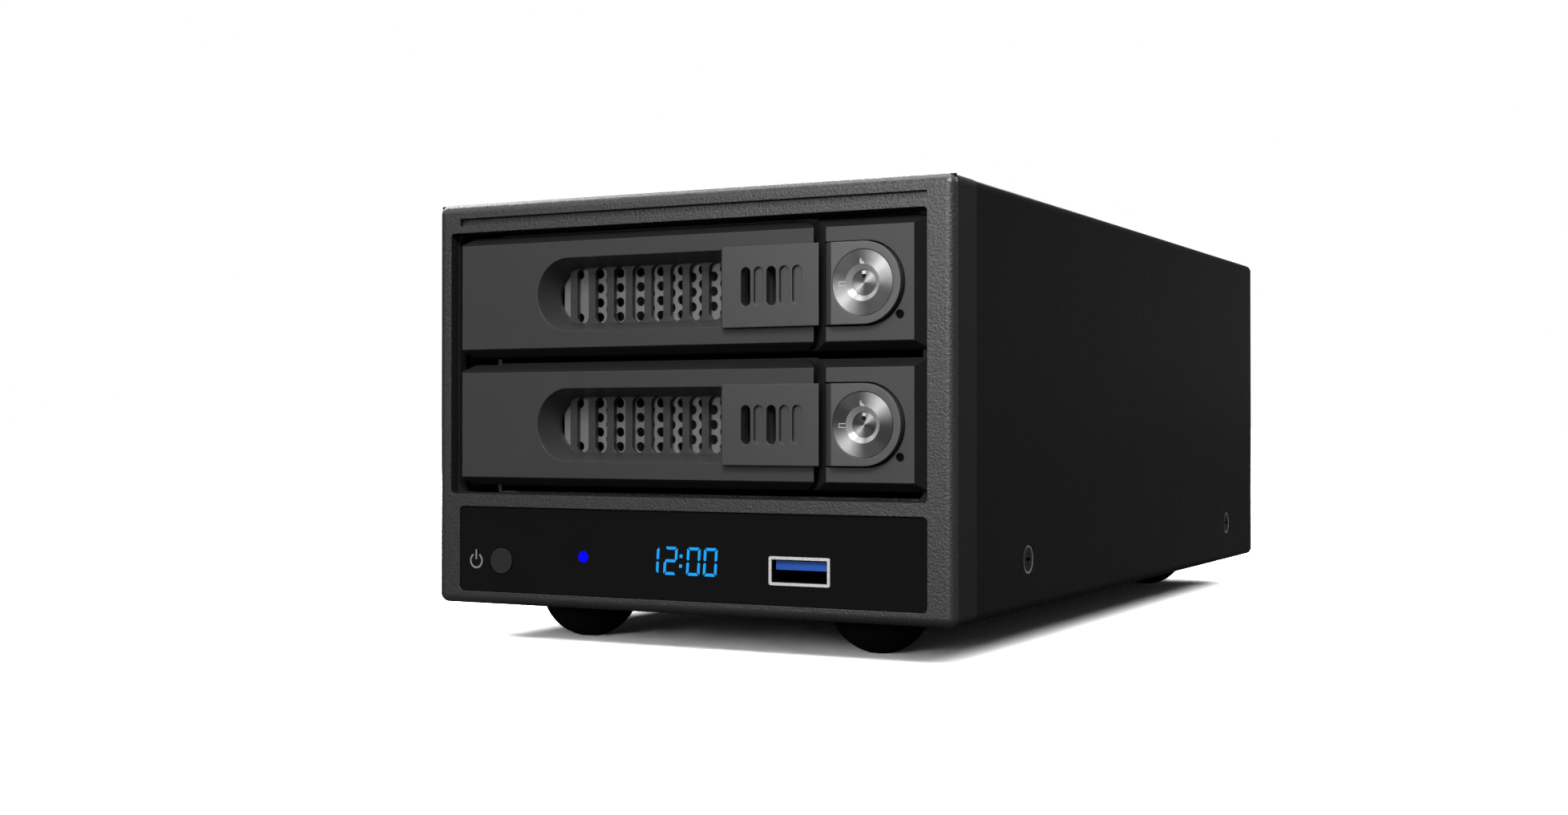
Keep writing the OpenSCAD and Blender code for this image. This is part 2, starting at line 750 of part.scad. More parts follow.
// Runs an outline in the Y-Z plane from x0 to x1
module along_x(x0, x1) {
    translate([x0, 0, 0]) rotate([90, 0, 90]) linear_extrude(x1 - x0) children();
}

// Lifts a flat outline between two heights
module along_z(z0, z1) {
    translate([0, 0, z0]) linear_extrude(z1 - z0) children();
}

// A flat rectangle with round corners, given by its edges
module round_rect(x0, x1, z0, z1, r) {
    translate([x0 + r, z0]) square([x1 - x0 - 2 * r, z1 - z0]);
    translate([x0, z0 + r]) square([x1 - x0, z1 - z0 - 2 * r]);
    for (x = [x0 + r, x1 - r], z = [z0 + r, z1 - r]) translate([x, z]) circle(r);
}

// The same about a middle, w wide and h high
module round_rect_at(x, z, w, h, r) {
    round_rect(x - w / 2, x + w / 2, z - h / 2, z + h / 2, r);
}

// A flat slot with half-round ends at the top and the bottom
module tall_slot(w, h) {
    square([w, h - w], center = true);
    for (s = [-1, 1]) translate([0, s * (h - w) / 2]) circle(d = w);
}

// A flat slot with half-round ends at the left and the right
module long_slot(x0, x1, r) {
    translate([x0, -r]) square([x1 - x0, 2 * r]);
    for (x = [x0, x1]) translate([x, 0]) circle(r);
}

// A rod along Y
module rod_y(x, z, y0, y1, r) {
    translate([x, y1, z]) rotate([90, 0, 0]) cylinder(r = r, h = y1 - y0);
}

// A cone along Y, radius ra at y0 and rb at y1
module cone_y(x, z, y0, y1, ra, rb) {
    translate([x, y1, z]) rotate([90, 0, 0]) cylinder(r1 = rb, r2 = ra, h = y1 - y0);
}

// Moves what is built behind the bezel front into the part's own frame
module in_case() {
    translate([0, front_y, 0]) children();
}

// Puts a tray's pieces at bay number k, 0 for the lower one
module in_bay(k) {
    translate([0, front_y, lower_z + k * pitch]) children();
}

// ---- case ----
// Block with round long edges, round front edges and ball corners
module bezel_block() {
    xa = left + edge_r;
    xb = right - edge_r;
    za = base + edge_r;
    zb = top - edge_r;
    box(xa, xb, 0, bezel_d, za, zb);
    box(left, right, edge_r, bezel_d, za, zb);
    box(xa, xb, edge_r, bezel_d, base, top);
    for (x = [xa, xb], z = [za, zb]) {
        translate([x, edge_r, z]) sphere(edge_r);
        rod_y(x, z, edge_r, bezel_d, edge_r);
    }
    for (x = [xa, xb]) translate([x, edge_r, za]) cylinder(r = edge_r, h = zb - za);
    for (z = [za, zb]) translate([xa, edge_r, z]) rotate([0, 90, 0])
        cylinder(r = edge_r, h = xb - xa);
}

// Moulded bezel: hollow block with a lip into the cover, bay opening, slot and panel pocket
module bezel_shape() {
    lip = cover_t + lip_gap;
    wall = lip + lip_t;
    difference() {
        union() {
            bezel_block();
            box(left + lip, right - lip, bezel_d - bite, bezel_d + lip_l,
                chassis_top + lip_gap, top - lip);
        }
        box(left + wall, right - wall, bezel_front_t, bezel_d + lip_l + cut,
            base + wall, top - wall);
        along_y(-cut, land_depth) round_rect(bay_x0, bay_x1, bay_z0, bay_z1, bay_r);
        along_y(land_depth - bite, bezel_front_t + cut) round_rect(bay_x0 + land_rim, cage_x1,
            bay_z0 + land_rim, bay_z1 - land_rim, soft_r);
        box(left + slot_side, right - slot_side, -cut, slot_depth,
            top - slot_top - slot_h, top - slot_top);
        along_y(-cut, panel_back) round_rect(panel_x0 - panel_gap, panel_x1 + panel_gap,
            panel_z0 - panel_gap, panel_z1 + panel_gap, panel_r + panel_gap);
        box(panel_x0 + panel_rim, panel_x1 - panel_rim, panel_back - cut, bezel_front_t + cut,
            panel_z0 + panel_rim, panel_z1 - panel_rim);
    }
}

module front_bezel() {
    color([0.24, 0.24, 0.24]) in_case() bezel_shape();
}

// Gloss front with its bores and two bosses for the front board
module control_panel() {
    color([0.07, 0.07, 0.07]) in_case() difference() {
        union() {
            along_y(panel_in, panel_back)
                round_rect(panel_x0, panel_x1, panel_z0, panel_z1, panel_r);
            for (x = boss_xs) rod_y(x, boss_z, panel_back - bite, front_board_y, boss_r);
        }
        for (x = boss_xs)
            rod_y(x, boss_z, panel_back + cut, front_board_y + cut, (board_screw_d + hole_gap) / 2);
        rod_y(power_cx, power_cz, 0, panel_back + cut, power_d / 2 + power_gap);
        rod_y(led_cx, led_cz, 0, panel_back + cut, (led_d + panel_gap) / 2);
        along_y(0, panel_back + cut) round_rect_at(usb_cx, usb_cz, usb_w + 2 * panel_gap,
            usb_h + 2 * panel_gap, usb_r + panel_gap);
    }
}

// Button cap with a flange behind the panel and a stem to the switch
module power_button() {
    flange_back = flange_front + panel_flange;
    color([0.16, 0.16, 0.16]) in_case() {
        rod_y(power_cx, power_cz, panel_in - panel_out, flange_front + bite, power_d / 2);
        rod_y(power_cx, power_cz, flange_front, flange_back, power_d / 2 + panel_flange);
        rod_y(power_cx, power_cz, flange_back - bite, stem_y1, power_stem_d / 2);
    }
}

module power_switch() {
    half = switch_w / 2;
    color([0.1, 0.1, 0.1]) in_case() {
        box(power_cx - half, power_cx + half, switch_front, front_board_y,
            power_cz - half, power_cz + half);
        rod_y(power_cx, power_cz, switch_front - plunger_l, switch_front + bite, switch_w / 4);
    }
}

// Clear rod from the panel's face to the lamp on the front board
module power_lamp() {
    color([0.05, 0.05, 0.95]) in_case() {
        rod_y(led_cx, led_cz, panel_in, flange_front + bite, led_d / 2);
        rod_y(led_cx, led_cz, flange_front, front_board_y, led_d / 2 + panel_flange);
    }
}

module display_unit() {
    color([0.09, 0.09, 0.1]) in_case() box(display_cx - display_w / 2,
        display_cx + display_w / 2, flange_front, front_board_y,
        display_cz - display_h / 2, display_cz + display_h / 2);
}

// Folded shell with a rolled rim, closed at the back
module usb_shell() {
    w = usb_w - 2 * usb_rim;
    h = usb_h - 2 * usb_rim;
    rim_back = panel_in - panel_out + usb_rim_t;
    color([0.82, 0.82, 0.8]) in_case() difference() {
        union() {
            along_y(panel_in - panel_out, rim_back) round_rect_at(usb_cx, usb_cz, usb_w, usb_h, usb_r);
            along_y(rim_back - bite, front_board_y) round_rect_at(usb_cx, usb_cz, w, h, usb_r);
        }
        along_y(-cut, front_board_y - usb_wall)
            round_rect_at(usb_cx, usb_cz, w - 2 * usb_wall, h - 2 * usb_wall, usb_r / 2);
    }
}

// Contact tongue in the upper half of the socket
module usb_tongue() {
    half = usb_w / 2 - usb_rim - usb_wall - tongue_side;
    z = usb_cz + seat_gap;
    color([0.1, 0.2, 0.85]) in_case() box(usb_cx - half, usb_cx + half,
        panel_in + usb_rim_t, front_board_y - usb_wall, z, z + tongue_t);
}

module front_board() {
    color([0.05, 0.25, 0.12]) in_case() difference() {
        box(panel_x0 + panel_rim + front_board_rim, panel_x1 - panel_rim - front_board_rim,
            front_board_y, front_board_y + board_t, panel_z0 + front_board_rim,
            panel_z1 - front_board_rim);
        for (x = boss_xs) rod_y(x, boss_z, front_board_y - cut, front_board_y + board_t + cut,
            board_screw_d / 2 + hole_gap);
    }
}

module front_board_screws() {
    back = front_board_y + board_t;
    color([0.7, 0.7, 0.7]) in_case() for (x = boss_xs) {
        rod_y(x, boss_z, panel_back + 2 * cut, back + bite, board_screw_d / 2);
        rod_y(x, boss_z, back, back + board_screw_d * 0.65, board_screw_d * 0.95);
    }
}

// Bent sheet round the left side, the top and the right side
module wrap_cover() {
    y0 = bezel_d + seam_gap;
    color([0.12, 0.12, 0.12]) in_case() difference() {
        along_y(y0, body_d) round_rect(left, right, base, top, edge_r);
        along_y(y0 - cut, body_d + cut) round_rect(left + cover_t, right - cover_t,
            base + cover_t, top - cover_t, fold_r);
        box(left + flange_w, right - flange_w, y0 - cut, body_d + cut,
            base - cut, base + cover_t + cut);
        for (y = cover_screw_ys, s = [-1, 1]) cover_screw_cut(y, s);
    }
}

// A round shape along X on the side s of the case, from depth a to depth b
module side_cone(y, s, a, b, ra, rb) {
    translate([s * (body_w / 2 - a), y, base + cover_screw_z]) rotate([0, -90 * s, 0])
        cylinder(r1 = ra, r2 = rb, h = b - a);
}

module cover_screw_cut(y, s) {
    head = cover_screw_head / 2 + hole_gap;
    shank = cover_screw_d / 2 + 2 * hole_gap;
    side_cone(y, s, -cut, cover_screw_in + bite, head, head);
    side_cone(y, s, cover_screw_in, cover_t + bite, head, shank);
    side_cone(y, s, cover_t, cover_t + cut, shank, shank);
}

// Countersunk screws with a cross recess
module cover_screws() {
    shank = cover_screw_d / 2;
    color([0.3, 0.3, 0.3]) in_case() for (y = cover_screw_ys, s = [-1, 1]) difference() {
        union() {
            side_cone(y, s, cover_screw_in, cover_t, cover_screw_head / 2, shank + hole_gap);
            side_cone(y, s, cover_t - bite, cover_screw_len, shank, shank);
        }
        translate([s * body_w / 2, y, base + cover_screw_z]) rotate([0, 90, 0]) {
            cube([cross_w, cross_l, 2 * cross_d], center = true);
            cube([cross_l, cross_w, 2 * cross_d], center = true);
        }
    }
}

// Floor pan with a sunk middle, side walls and air slots
module bottom_chassis() {
    wall_top = chassis_z + chassis_lip;
    color([0.25, 0.25, 0.26]) in_case() difference() {
        union() {
            box(-pan_half, pan_half, bezel_d + sheet_gap, rear_y0, base, chassis_top);
            box(-pan_half, pan_half, rear_y0 - bite, body_d, base, plate_top);
            along_y(inner_y0, rear_y0)
                round_rect(-chassis_half, chassis_half, chassis_z, wall_top, fold_r);
        }
        box(-pan_half + sheet_t, pan_half - sheet_t, bezel_d, rear_y0 + cut,
            plate_top, chassis_top + cut);
        box(-chassis_half + sheet_t, chassis_half - sheet_t, inner_y0 - cut, rear_y0 + cut,
            chassis_top, wall_top + cut);
        for (y = cover_screw_ys, s = [-1, 1])
            side_cone(y, s, cover_t, cover_t + 2 * sheet_t, cover_screw_d / 2 + bite,
                cover_screw_d / 2 + bite);
        for (i = [0:air_slots - 1]) translate([0, air_slot_y + i * air_slot_pitch, 0])
            box(-air_slot_l / 2, air_slot_l / 2, 0, air_slot_w, base - cut, chassis_top + cut);
    }
}

// Rubber dome with a small flat to stand on
module feet() {
    color([0.05, 0.05, 0.05]) in_case() for (x = [-foot_x, foot_x], y = [foot_y, body_d - foot_y])
        translate([x, y, 0]) intersection() {
            translate([0, 0, foot_ball_r - foot_flat]) sphere(foot_ball_r, $fn = 64);
            cylinder(r = foot_ball_r + cut, h = foot_h);
        }
}

// Sheet tunnel on two legs, with runner ledges for both trays
module drive_cage() {
    reach = slide_gap + ledge_reach;
    color([0.62, 0.63, 0.64]) in_case() difference() {
        union() {
            difference() {
                box(cage_x0 - sheet_t, cage_x1 + sheet_t, inner_y0, cage_y1,
                    chassis_top, cage_top + sheet_t);
                box(cage_x0, cage_x1, inner_y0 - cut, cage_y1 + cut, cage_floor, cage_top);
                box(cage_x0, cage_x1, inner_y0 - cut, cage_y1 + cut,
                    chassis_top - cut, cage_floor - sheet_t);
            }
            for (k = [0, 1]) translate([0, 0, lower_z + k * pitch + ledge_z0]) {
                box(cage_x0 - bite, cage_x0 + reach, inner_y0, drive_y1, 0, ledge_h);
                box(cage_x1 - reach, cage_x1 + bite, inner_y0, drive_y1, 0, ledge_h);
            }
        }
        for (i = [0:cage_slots - 1]) translate([0, cage_slot_y + i * cage_slot_pitch, 0])
            box(cage_x0 - 3 * sheet_t, cage_x1 + 3 * sheet_t, 0, cage_slot_l,
                cage_z_mid - cage_slot_h / 2, cage_z_mid + cage_slot_h / 2);
    }
}

// Upright board that both drives plug into, with air windows
module backplane_board() {
    color([0.05, 0.25, 0.12]) in_case() difference() {
        box(cage_x0 + hole_gap, cage_x1 - hole_gap, backplane_y, backplane_y + board_t,
            cage_floor, cage_top - 2 * sheet_t);
        for (i = [0:2], k = [0, 1]) along_y(backplane_y - cut, backplane_y + board_t + cut)
            round_rect_at(cage_x0 + (i + 1) * window_pitch - window_w / 2,
                lower_z + k * pitch, window_w, window_w, soft_r);
    }
}

// One socket for each drive on the backplane
module backplane_sockets() {
    y0 = drive_y1 - sata_depth;
    color([0.08, 0.08, 0.08]) in_case() for (k = [0, 1])
        translate([0, 0, lower_z + k * pitch + sata_z0]) difference() {
            box(sata_x0, sata_x1, y0, backplane_y, 0, sata_h);
            box(sata_x0 + socket_wall, sata_x1 - socket_wall, y0 - cut, backplane_y - sheet_t,
                socket_wall, sata_h - socket_wall);
        }
}

// ---- boards and sockets ----
module main_board() {
    color([0.05, 0.25, 0.12]) in_case() difference() {
        box(-main_w / 2, main_w / 2, main_y0, main_y1, board_z, board_top);
        for (x = standoff_xs, y = standoff_ys) translate([x, y, board_z - cut])
            cylinder(d = board_screw_d + 4 * hole_gap, h = board_t + 2 * cut);
    }
}

// Threaded posts under the main board
module board_standoffs() {
    color([0.75, 0.7, 0.5]) in_case() for (x = standoff_xs, y = standoff_ys)
        translate([x, y, plate_top]) difference() {
            cylinder(d = standoff_d, h = standoff_h);
            translate([0, 0, sheet_t]) cylinder(d = board_screw_d + hole_gap, h = standoff_h);
        }
}

module board_screws() {
    z = plate_top + 2 * sheet_t;
    color([0.75, 0.75, 0.75]) in_case() for (x = standoff_xs, y = standoff_ys) {
        translate([x, y, board_top]) cylinder(r = board_screw_d, h = board_screw_d * 0.65);
        translate([x, y, z]) cylinder(d = board_screw_d, h = board_top - z + bite);
    }
}

// Main chip, memory chips at its right and capacitors at its left
module board_chips() {
    color([0.07, 0.07, 0.07]) in_case() translate([0, 0, board_top]) {
        box(-chip_w / 2, chip_w / 2, chip_y0, chip_y0 + chip_w, 0, chip_h);
        for (i = [0:3])
            translate([chip_w / 2 + part_gap, chip_y0 - memory_l / 2 + i * part_pitch, 0])
                cube([memory_w, memory_l, chip_h]);
        for (i = [0:2])
            translate([-chip_w / 2 - part_gap - cap_d, chip_y0 + i * part_pitch, 0])
                cylinder(d = cap_d, h = cap_h);
    }
}

// Finned block on the main chip
module heat_sink() {
    color([0.6, 0.6, 0.62]) in_case() translate([-chip_w / 2, chip_y0, board_top + chip_h]) {
        cube([chip_w, chip_w, sink_t]);
        for (i = [0:fins - 1]) translate([i * (chip_w - fin_t) / (fins - 1), 0, sink_t - bite])
            cube([fin_t, chip_w, fin_h]);
    }
}

// A socket body on the main board, open at the rear panel
module rear_socket(x, w, h, l, wall) {
    in_case() difference() {
        box(x - w / 2, x + w / 2, rear_y1 - l, rear_y1 + socket_out, board_top, board_top + h);
        box(x - w / 2 + wall, x + w / 2 - wall, rear_y1 - l + wall, rear_y1 + cut,
            board_top + wall, board_top + h - wall);
    }
}

module lan_socket() {
    color([0.7, 0.7, 0.7]) rear_socket(lan_cx, lan_w, lan_h, lan_l, socket_wall);
}

module rear_usb_socket() {
    color([0.75, 0.75, 0.75]) rear_socket(rear_usb_cx, rear_usb_w, rear_usb_h, rear_usb_l, shell_t);
}

module video_socket() {
    color([0.75, 0.75, 0.75]) rear_socket(video_cx, video_w, video_h, video_l, shell_t);
}

// Round socket for the power adapter, with its centre pin
module power_inlet() {
    z = board_top + inlet_z;
    floor_y = rear_y1 - inlet_l + 3 * sheet_t;
    color([0.06, 0.06, 0.06]) in_case() {
        difference() {
            box(inlet_cx - inlet_w / 2, inlet_cx + inlet_w / 2, rear_y1 - inlet_l,
                rear_y1 + socket_out, board_top, board_top + inlet_h);
            rod_y(inlet_cx, z, floor_y, rear_y1 + cut, inlet_bore_d / 2);
        }
        rod_y(inlet_cx, z, floor_y - bite, rear_y1 - sheet_t, inlet_pin_d / 2);
    }
}

// Opening in the rear panel for a socket
module socket_cut(x, w, h) {
    box(x - w / 2 - socket_gap, x + w / 2 + socket_gap, rear_y0 - cut, rear_y1 + cut,
        board_top - socket_gap, board_top + h + socket_gap);
}

// Places of the four fan screws
module fan_screw_places() {
    for (sx = [-1, 1], sz = [-1, 1]) translate([sx * fan_hole, 0, fan_cz + sz * fan_hole]) children();
}

module rear_panel() {
    slot_x = right - rear_slot_side - rear_slot_l / 2;
    half = chassis_half - sheet_gap;
    color([0.13, 0.13, 0.13]) in_case() difference() {
        box(-half, half, rear_y0, rear_y1, chassis_z, top - cover_t - sheet_gap);
        rod_y(0, fan_cz, rear_y0 - cut, rear_y1 + cut, fan_bore_r);
        fan_screw_places() rod_y(0, 0, rear_y0 - cut, rear_y1 + cut, fan_screw_d / 2 + hole_gap);
        socket_cut(lan_cx, lan_w, lan_h);
        socket_cut(rear_usb_cx, rear_usb_w, rear_usb_h);
        socket_cut(video_cx, video_w, video_h);
        socket_cut(inlet_cx, inlet_w, inlet_h);
        for (i = [0:rear_slots - 1], s = [-1, 1])
            translate([s * slot_x, 0, fan_cz + (i - (rear_slots - 1) / 2) * rear_slot_pitch])
                box(-rear_slot_l / 2, rear_slot_l / 2, rear_y0 - cut, rear_y1 + cut,
                    -rear_slot_h / 2, rear_slot_h / 2);
    }
}

// ---- fan ----
// Square frame with struts to a base plate and the post that the rotor turns on
module fan_frame() {
    half = fan_w / 2;
    strut_y1 = fan_y0 + fan_strut;
    color([0.06, 0.06, 0.06]) in_case() {
        difference() {
            along_y(fan_y0, rear_y0) round_rect_at(0, fan_cz, fan_w, fan_w, soft_r);
            rod_y(0, fan_cz, fan_y0 - cut, rear_y0 + cut, fan_bore_r);
            fan_screw_places() rod_y(0, 0, fan_y0 - cut, rear_y0 + cut, fan_screw_d / 2 + bite);
            for (sx = [-1, 1], sz = [-1, 1]) translate([sx * half, 0, fan_cz + sz * half])
                box(-fan_corner, fan_corner, fan_y0 + fan_plate_t, rear_y0 - fan_plate_t,
                    -fan_corner, fan_corner);
        }
        for (a = [45:90:315]) translate([0, 0, fan_cz]) rotate([0, a, 0])
            box(fan_hub_d / 2 - cut, fan_bore_r + fan_wall / 2, fan_y0, strut_y1,
                -fan_strut / 2, fan_strut / 2);
        rod_y(0, fan_cz, fan_y0, strut_y1, fan_hub_d / 2);
        rod_y(0, fan_cz, strut_y1 - bite, post_y1, fan_post_d / 2);
    }
}

// Hub and pitched blades, turning on the frame's post
module fan_rotor() {
    color([0.09, 0.09, 0.09]) in_case() {
        difference() {
            rod_y(0, fan_cz, blade_y0, blade_y1, fan_hub_d / 2);
            rod_y(0, fan_cz, blade_y0 - cut, post_y1 + lip_gap, fan_post_d / 2 + fan_fit);
        }
        intersection() {
            difference() {
                rod_y(0, fan_cz, blade_y0, blade_y1, fan_bore_r - fan_gap);
                rod_y(0, fan_cz, blade_y0 - cut, blade_y1 + cut, fan_hub_d / 2 - fan_gap);
            }
            for (i = [0:fan_blades - 1]) translate([0, (blade_y0 + blade_y1) / 2, fan_cz])
                rotate([0, i * 360 / fan_blades, 0]) rotate([fan_pitch, 0, 0])
                    translate([0, -fan_t, -blade_t / 2]) cube([fan_w, 2 * fan_t, blade_t]);
        }
    }
}

// Flat stamped guard over the fan's outlet: disc, rings, four spokes and four eyes
module fan_guard() {
    w = guard_wire / 2;
    reach = fan_hole * sqrt(2);
    color([0.75, 0.75, 0.75]) in_case() along_y(rear_y1, rear_y1 + guard_wire)
        translate([0, fan_cz]) difference() {
            union() {
                circle(guard_disc_r);
                for (r = [guard_disc_r + guard_pitch:guard_pitch:guard_r]) difference() {
                    circle(r + w);
                    circle(r - w);
                }
                for (a = [45:90:315]) rotate(a) {
                    translate([0, -w]) square([reach, 2 * w]);
                    translate([reach, 0]) circle(fan_screw_d / 2 + guard_wire);
                }
            }
            for (a = [45:90:315]) rotate(a) translate([reach, 0]) circle(fan_screw_d / 2 + hole_gap);
        }
}

module fan_screws() {
    seat = rear_y1 + guard_wire;
    color([0.7, 0.7, 0.7]) in_case() fan_screw_places() {
        rod_y(0, 0, rear_y0 - fan_screw_l, seat + bite, fan_screw_d / 2 - hole_gap);
        rod_y(0, 0, seat, body_d - hole_gap, fan_screw_d / 2 + fan_screw_rim);
    }
}

// ---- tray fronts, drawn about the tray's middle height ----
// Side view of the bevelled fronts, from the face back to the bevel's foot
module bevel_profile() {
    polygon([[face_in, -half_face + edge_cut], [face_in + edge_cut, -half_face],
        [face_back, -half_base], [face_back, half_base],
        [face_in + edge_cut, half_face], [face_in, half_face - edge_cut]]);
}

// Top view of the lever slab, slanted at both ends
module lever_plan() {
    polygon([[lever_x0 + edge_cut, face_in], [lever_x1 - edge_cut, face_in],
        [lever_x1 - edge_cut * slope, face_in + edge_cut], [lever_x1 - slant, face_back],
        [lever_x0 + slant_left, face_back], [lever_x0, face_in + edge_cut]]);
}

// Finger recess: two cones and a wedge between them
module tapered_pill(y0, y1, ra, rb) {
    for (x = [pill_c0, pill_c1]) cone_y(x, 0, y0, y1, ra, rb);
    along_x(pill_c0, pill_c1) polygon([[y0, -ra], [y1, -rb], [y1, rb], [y0, ra]]);
}

// Slab, recess shell, barrel and catch, less the recess, the grille slots and the pin's bore
module lever_shape() {
    mid_r = pill_r - pill_taper * bevel_d / pill_d;
    mouth_y = face_back + catch_l - 2 * catch_mouth;
    difference() {
        union() {
            intersection() {
                along_z(-half_base, half_base) lever_plan();
                along_x(lever_x0 - cut, lever_x1 + cut) bevel_profile();
            }
            tapered_pill(face_back - bite, floor_back, mid_r + pill_wall, pill_r2 + pill_wall);
            translate([pivot_x, pivot_y, -barrel_h / 2]) cylinder(r = barrel_r, h = barrel_h);
            box(pivot_x - barrel_r, pivot_x + barrel_r, face_back - bite, pivot_y,
                -barrel_h / 2, barrel_h / 2);
            box(catch_x0, catch_x0 + catch_t, face_back - bite, face_back + catch_l,
                -catch_h / 2, catch_h / 2);
        }
        tapered_pill(face_in, pill_floor, pill_r, pill_r2);
        along_y(-cut, face_in + bite) long_slot(pill_c0, pill_c1, pill_r);
        intersection() {
            along_y(pill_floor - bite, floor_back + cut) long_slot(pill_c0, pill_c1, pill_r2);
            for (i = [-1:vent_count - 1]) along_y(pill_floor - cut, floor_back + cut)
                translate([vent_first + i * vent_pitch, 0]) tall_slot(vent_w, 2 * pill_r2);
        }
        translate([pivot_x, pivot_y, -barrel_h]) cylinder(d = pin_d + 2 * pin_fit, h = 2 * barrel_h);
        box(catch_x0 + catch_t / 2, catch_x0 + catch_t + cut, mouth_y, mouth_y + catch_mouth,
            -catch_h, catch_h);
    }
}

// Perforated sheet with staggered holes: the first column has only its end holes and the
// second is left out
module mesh_shape() {
    x0 = pill_c0 - pill_r2 + pill_wall / 2;
    x1 = pill_c1 + pill_r2 - pill_wall / 2;
    half = pill_r2 + pill_wall / 2;
    columns = floor((x1 - mesh_side - mesh_first) / mesh_step);
    difference() {
        along_y(floor_back, mesh_back) round_rect(x0, x1, -half, half, soft_r);
        for (i = [0:columns]) if (i != 1)
            for (j = (i % 2 == 0) ? [-1.5, -0.5, 0.5, 1.5] : [-1, 0, 1]) if (i > 0 || abs(j) > 1)
                rod_y(mesh_first + i * mesh_step, j * mesh_rise, floor_back - cut, mesh_back + cut,
                    mesh_hole / 2);
    }
}

// Raised plate at the lever's free end, slotted for grip
module grip_shape() {
    x1 = lever_x1 + proud * slope;
    x0 = x1 - grip_w;
    first = x0 + grip_slot_x + grip_slot_w / 2;
    difference() {
        along_z(-grip_h / 2, grip_h / 2) polygon([[x0 + edge_cut, raised_y],
            [x1 - edge_cut, raised_y], [x1 - edge_cut * slope, raised_y + edge_cut],
            [lever_x1, face_in], [x0, face_in], [x0, raised_y + edge_cut]]);
        for (i = [0:grip_slots - 1]) translate([first + i * grip_pitch, 0, 0])
            along_y(raised_y - cut, (i == 0 || i == 2) ? face_in + cut : raised_y + grip_slot_d)
                tall_slot(grip_slot_w, grip_slot_h);
    }
}

module pin_shape() {
    z = barrel_h / 2 + ear_gap + ear_h;
    translate([pivot_x, pivot_y, -z]) cylinder(d = pin_d, h = 2 * z);
}

// Outline of the lock button: flat on the left, round on the right
module button_outline(grow) {
    x0 = button_x0 - grow;
    r = button_r + grow;
    translate([x0, -r]) square([button_cx - x0, 2 * r]);
    translate([button_cx, 0]) circle(r, $fn = 96);
}

// Raised button with a slanted left side, a pocket for the disc, a flange and a hub
module button_shape() {
    flange_back = flange_y + flange_t;
    difference() {
        union() {
            along_y(raised_y, flange_y + bite) button_outline(0);
            along_y(flange_y, flange_back) difference() {
                intersection() {
                    button_outline(flange_over);
                    translate([button_x0 - button_gap, -2 * button_r]) square(4 * button_r);
                }
                translate([lamp_cx, -lamp_z]) circle(lamp_flange_r + button_gap);
            }
            rod_y(button_cx, 0, flange_back - bite, flange_back + hub_l, plug_d / 2 + cam_t);
        }
        along_z(-2 * button_r, 2 * button_r) polygon([[button_x0 - cut, raised_y - cut],
            [button_x0 + proud * slope, raised_y - cut], [button_x0 + proud * slope, raised_y],
            [button_x0, face_in], [button_x0 - cut, face_in]]);
        rod_y(button_cx, 0, raised_y - cut, raised_y + disc_t, disc_d / 2 + hole_gap);
        rod_y(button_cx, 0, raised_y, flange_back + hub_l + cut, plug_bore);
    }
}

// Lock disc: flat brushed ring, bright cone and the bore for the plug
module disc_shape() {
    difference() {
        rod_y(button_cx, 0, raised_y, raised_y + disc_t, disc_d / 2);
        cone_y(button_cx, 0, raised_y - bite, raised_y + plug_in, ring_d / 2, plug_bore);
        rod_y(button_cx, 0, raised_y, raised_y + disc_t + cut, plug_bore);
    }
}

// Key plug with its keyway dot and its cam at the inner end
module plug_shape() {
    y0 = raised_y + plug_in;
    dot = plug_d / 6;
    difference() {
        rod_y(button_cx, 0, y0, plug_end, plug_d / 2);
        box(button_cx - dot / 2, button_cx + dot / 2, y0 - cut, y0 + dot, dot, 2 * dot);
    }
    along_y(plug_end - cam_t, plug_end) translate([button_cx - cam_w / 2, 0]) square([cam_w, cam_l]);
}

// Lock block: bevelled front, the button's well and a hollow body
module block_shape() {
    half = -tray_floor_top;
    difference() {
        union() {
            intersection() {
                along_z(-half_base, half_base) polygon([
                    [lock_x0 + edge_cut, face_in], [lock_x1 - edge_cut, face_in],
                    [lock_x1, face_in + edge_cut], [lock_base_x1, face_back],
                    [lock_x0 - slant, face_back], [lock_x0 - edge_cut * slope, face_in + edge_cut]]);
                along_x(lock_x0 - 2 * slant, bay_x1 + cut) bevel_profile();
            }
            box(block_x0, tray_x1, face_back - bite, block_d, -half, half);
        }
        along_y(-cut, shelf_y + cut) button_outline(button_gap);
        box(block_x0 + block_wall, tray_x1 - block_wall, shelf_y, block_d + cut,
            -half + block_wall, half - block_wall);
        rod_y(lamp_cx, -lamp_z, -cut, shelf_y + cut, lamp_d / 2);
    }
}

// Light rod of the small lamp, with its collar behind the block's front
module lamp_shape() {
    rod_y(lamp_cx, -lamp_z, face_in + lamp_d / 3, shelf_y + bite, lamp_d / 2 - 5 * bite);
    rod_y(lamp_cx, -lamp_z, shelf_y, lamp_back, lamp_flange_r);
}

